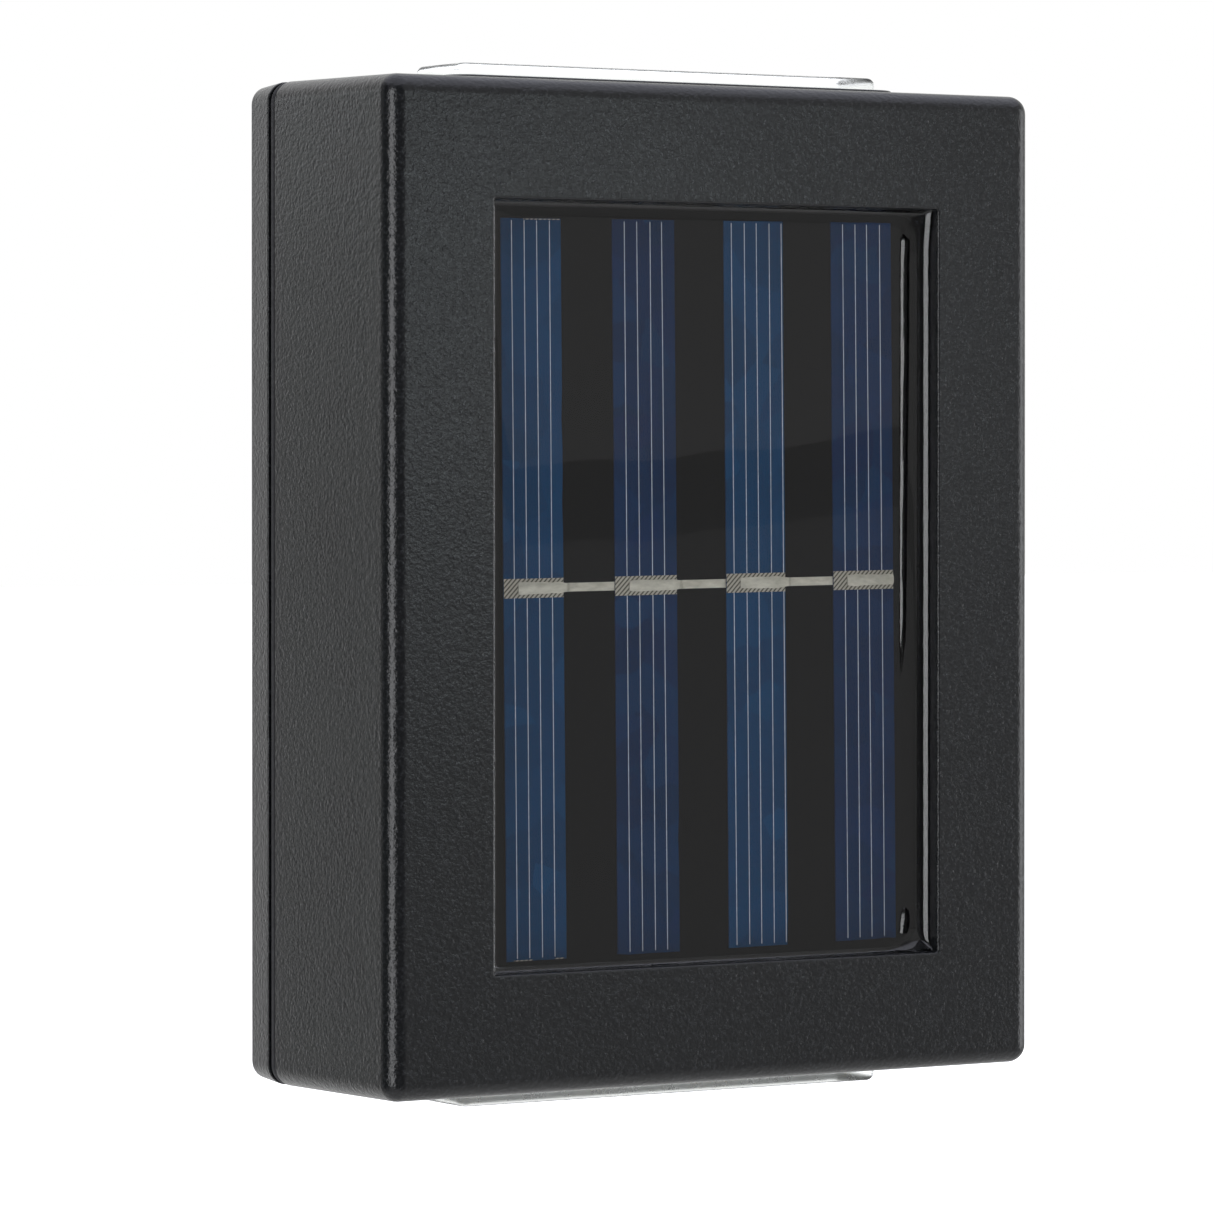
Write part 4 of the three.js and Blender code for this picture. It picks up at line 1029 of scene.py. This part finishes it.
def by_elevation(tree, elevation, stops):
    """A ramp from straight down to straight up, from (elevation in degrees, value) stops."""
    height = math_node(tree, "MULTIPLY_ADD", elevation, 1 / 180, 0.5)
    return ramp(tree, height, [((angle + 90) / 180, value) for angle, value in stops])


def mirrored_shade(tree, azimuth, elevation):
    """How much is taken from the light that the resin mirrors: a thin dark line, and less below it."""
    above_line = math_node(tree, "ADD", elevation, math_node(tree, "MULTIPLY_ADD", azimuth, 0.112, 4.02))
    on_line = math_node(tree, "LESS_THAN", math_node(tree, "ABSOLUTE", above_line), 0.37)
    below_line = math_node(tree, "LESS_THAN", above_line, 0.0)
    from_middle = math_node(tree, "ABSOLUTE", math_node(tree, "ADD", azimuth, 32.0))
    near = math_node(tree, "LESS_THAN", from_middle, 14.0)
    line = math_node(tree, "MULTIPLY", on_line, 0.32)
    lower = math_node(tree, "MULTIPLY", below_line, 0.14)
    return math_node(tree, "MULTIPLY", math_node(tree, "MAXIMUM", line, lower), near)


def studio_light(tree, azimuth, elevation):
    """The surroundings by direction: a dim round, two softboxes, and light from above and below."""
    round_light = by_azimuth(tree, azimuth, [(angle, value / WORLD_STRENGTH) for angle, value in ROUND_LIGHT])
    outside = [(-90, 1.0), (-43.2, 1.0), (-25.2, 0.0), (36, 0.0), (46.8, 1.0), (90, 1.0)]
    poles = by_elevation(tree, elevation, [(-9, shares(BELOW_LIGHT)), (18, shares(ABOVE_LIGHT))])
    light = mixed(tree, by_elevation(tree, elevation, outside), round_light, poles)
    for first, last, edge, half, value in STRIP_LIGHTS:
        across = [(first - edge, 0.0), (first, 1.0), (last, 1.0), (last + edge, 0.0)]
        upright = [(-half - 6, 0.0), (-half, 1.0), (half, 1.0), (half + 6, 0.0)]
        wide = by_azimuth(tree, azimuth, across)
        high = by_elevation(tree, elevation, upright)
        colour = shares([value * tint for tint in SOFTBOX_TINT])
        light = mixed(tree, math_node(tree, "MULTIPLY", wide, high), light, colour)
    return mixed(tree, mirrored_shade(tree, azimuth, elevation), light, (0.0, 0.0, 0.0))


def build_world():
    """A white studio: white where the camera looks past the object or through its lenses."""
    world = bpy.data.worlds.new("studio")
    bpy.context.scene.world = world
    world.use_nodes = True
    tree = world.node_tree
    parts = node(tree, "SeparateXYZ", {0: node(tree, "TexCoord").outputs["Generated"]})
    across = math_node(tree, "MULTIPLY", parts.outputs[0], -1.0)
    ahead = math_node(tree, "MULTIPLY", parts.outputs[1], -1.0)
    azimuth = math_node(tree, "DEGREES", math_node(tree, "ARCTAN2", across, ahead))
    elevation = math_node(tree, "DEGREES", math_node(tree, "ARCSINE", parts.outputs[2]))
    paths = node(tree, "LightPath")
    undiffused = math_node(tree, "LESS_THAN", paths.outputs["Diffuse Depth"], 0.5)
    through = math_node(tree, "MULTIPLY", paths.outputs["Is Transmission Ray"], undiffused)
    seen = math_node(tree, "MAXIMUM", paths.outputs["Is Camera Ray"], through)
    colour = mixed(tree, seen, studio_light(tree, azimuth, elevation), shares((1.0, 1.0, 1.0)))
    background = tree.nodes["Background"]
    tree.links.new(colour, background.inputs["Color"])
    background.inputs["Strength"].default_value = WORLD_STRENGTH


def build_floor():
    """A plain white floor, open from below so that the underside can be looked at."""
    half = 4.0
    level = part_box("bottom_lens")[0].z - 45 * MM
    corners = [(-half, -half, level), (half, -half, level), (half, half, level), (-half, half, level)]
    mesh = bpy.data.meshes.new("floor")
    mesh.from_pydata(corners, [], [(0, 1, 2, 3)])
    floor = bpy.data.objects.new("floor", mesh)
    bpy.context.scene.collection.objects.link(floor)
    material, tree, shader = new_material("floor", Roughness=0.9, Emission_Strength=0.9,
                                          Emission_Color=(1.0, 1.0, 1.0))
    tone = mixed(tree, noise_node(tree, 3, 2), (0.80, 0.80, 0.80), (0.84, 0.84, 0.84))
    tree.links.new(tone, shader.inputs["Base Color"])
    clear = node(tree, "BsdfTransparent").outputs[0]
    below = node(tree, "NewGeometry").outputs["Backfacing"]
    both = node(tree, "MixShader", {0: below, 1: shader.outputs[0], 2: clear})
    tree.links.new(both.outputs[0], tree.nodes["Material Output"].inputs["Surface"])
    mesh.materials.append(material)
    floor.visible_glossy = False


def add_area_light(name, location, target, size, energy, colour):
    """A round area light aimed at a place. The camera doesn't see it."""
    data = bpy.data.lights.new(name, "AREA")
    data.shape = "DISK"
    data.size = size
    data.energy = energy
    data.color = colour
    lamp = bpy.data.objects.new(name, data)
    lamp.location = location
    aim = Vector(target) - Vector(location)
    lamp.rotation_euler = aim.to_track_quat("-Z", "Y").to_euler()
    lamp.visible_camera = False
    bpy.context.scene.collection.objects.link(lamp)
    return lamp


def build_lights(face):
    """A small light that brightens the upper left of the face, and one for the side."""
    face_light = add_area_light("face_light", (0.160, -0.376, 0.046), (-0.04, -0.03, 0.033),
                                size=0.062, energy=0.056, colour=(0.86, 0.97, 1.0))
    light_only(face_light, [face])
    add_area_light("side_light", (-0.235, 0.335, 0.106), (-0.041, -0.015, 0.07),
                   size=0.06, energy=0.024, colour=(0.93, 0.98, 1.0))


def light_only(lamp, pieces):
    """Lets a light fall on the pieces given and on nothing else."""
    group = bpy.data.collections.new(lamp.name + "_receivers")
    for piece in pieces:
        group.objects.link(piece)
    lamp.light_linking.receiver_collection = group


def build_camera():
    """The photograph's camera, solved from the outline, the seam and the window."""
    data = bpy.data.cameras.new("camera")
    data.sensor_width = 36.0
    data.lens = 176.63
    data.shift_x = 0.0004
    data.shift_y = -0.0836
    camera = bpy.data.objects.new("camera", data)
    camera.location = (-0.3455, -0.56488, 0.01394)
    camera.rotation_euler = (math.radians(90 - 0.5), 0.0, math.radians(-31.76))
    bpy.context.scene.collection.objects.link(camera)
    bpy.context.scene.camera = camera


REPLACED = {"front_housing", "rear_cover", "housing_gasket", "top_lens", "bottom_lens", "panel_resin"}
REPLACED |= {f"{name}_{i + 1}" for name in ("solar_cell", "cell_ribbon") for i in STRIPS}

build_camera()
build_world()
build_floor()
build_lights(build_front_housing())
build_rear_cover()
build_gasket()
build_lens("top", 1)
build_lens("bottom", -1)
build_resin()
for strip in STRIPS:
    build_strip(strip)
    build_ribbon(strip)
dress_nodes(REPLACED)
bpy.context.scene.view_settings.view_transform = "Standard"
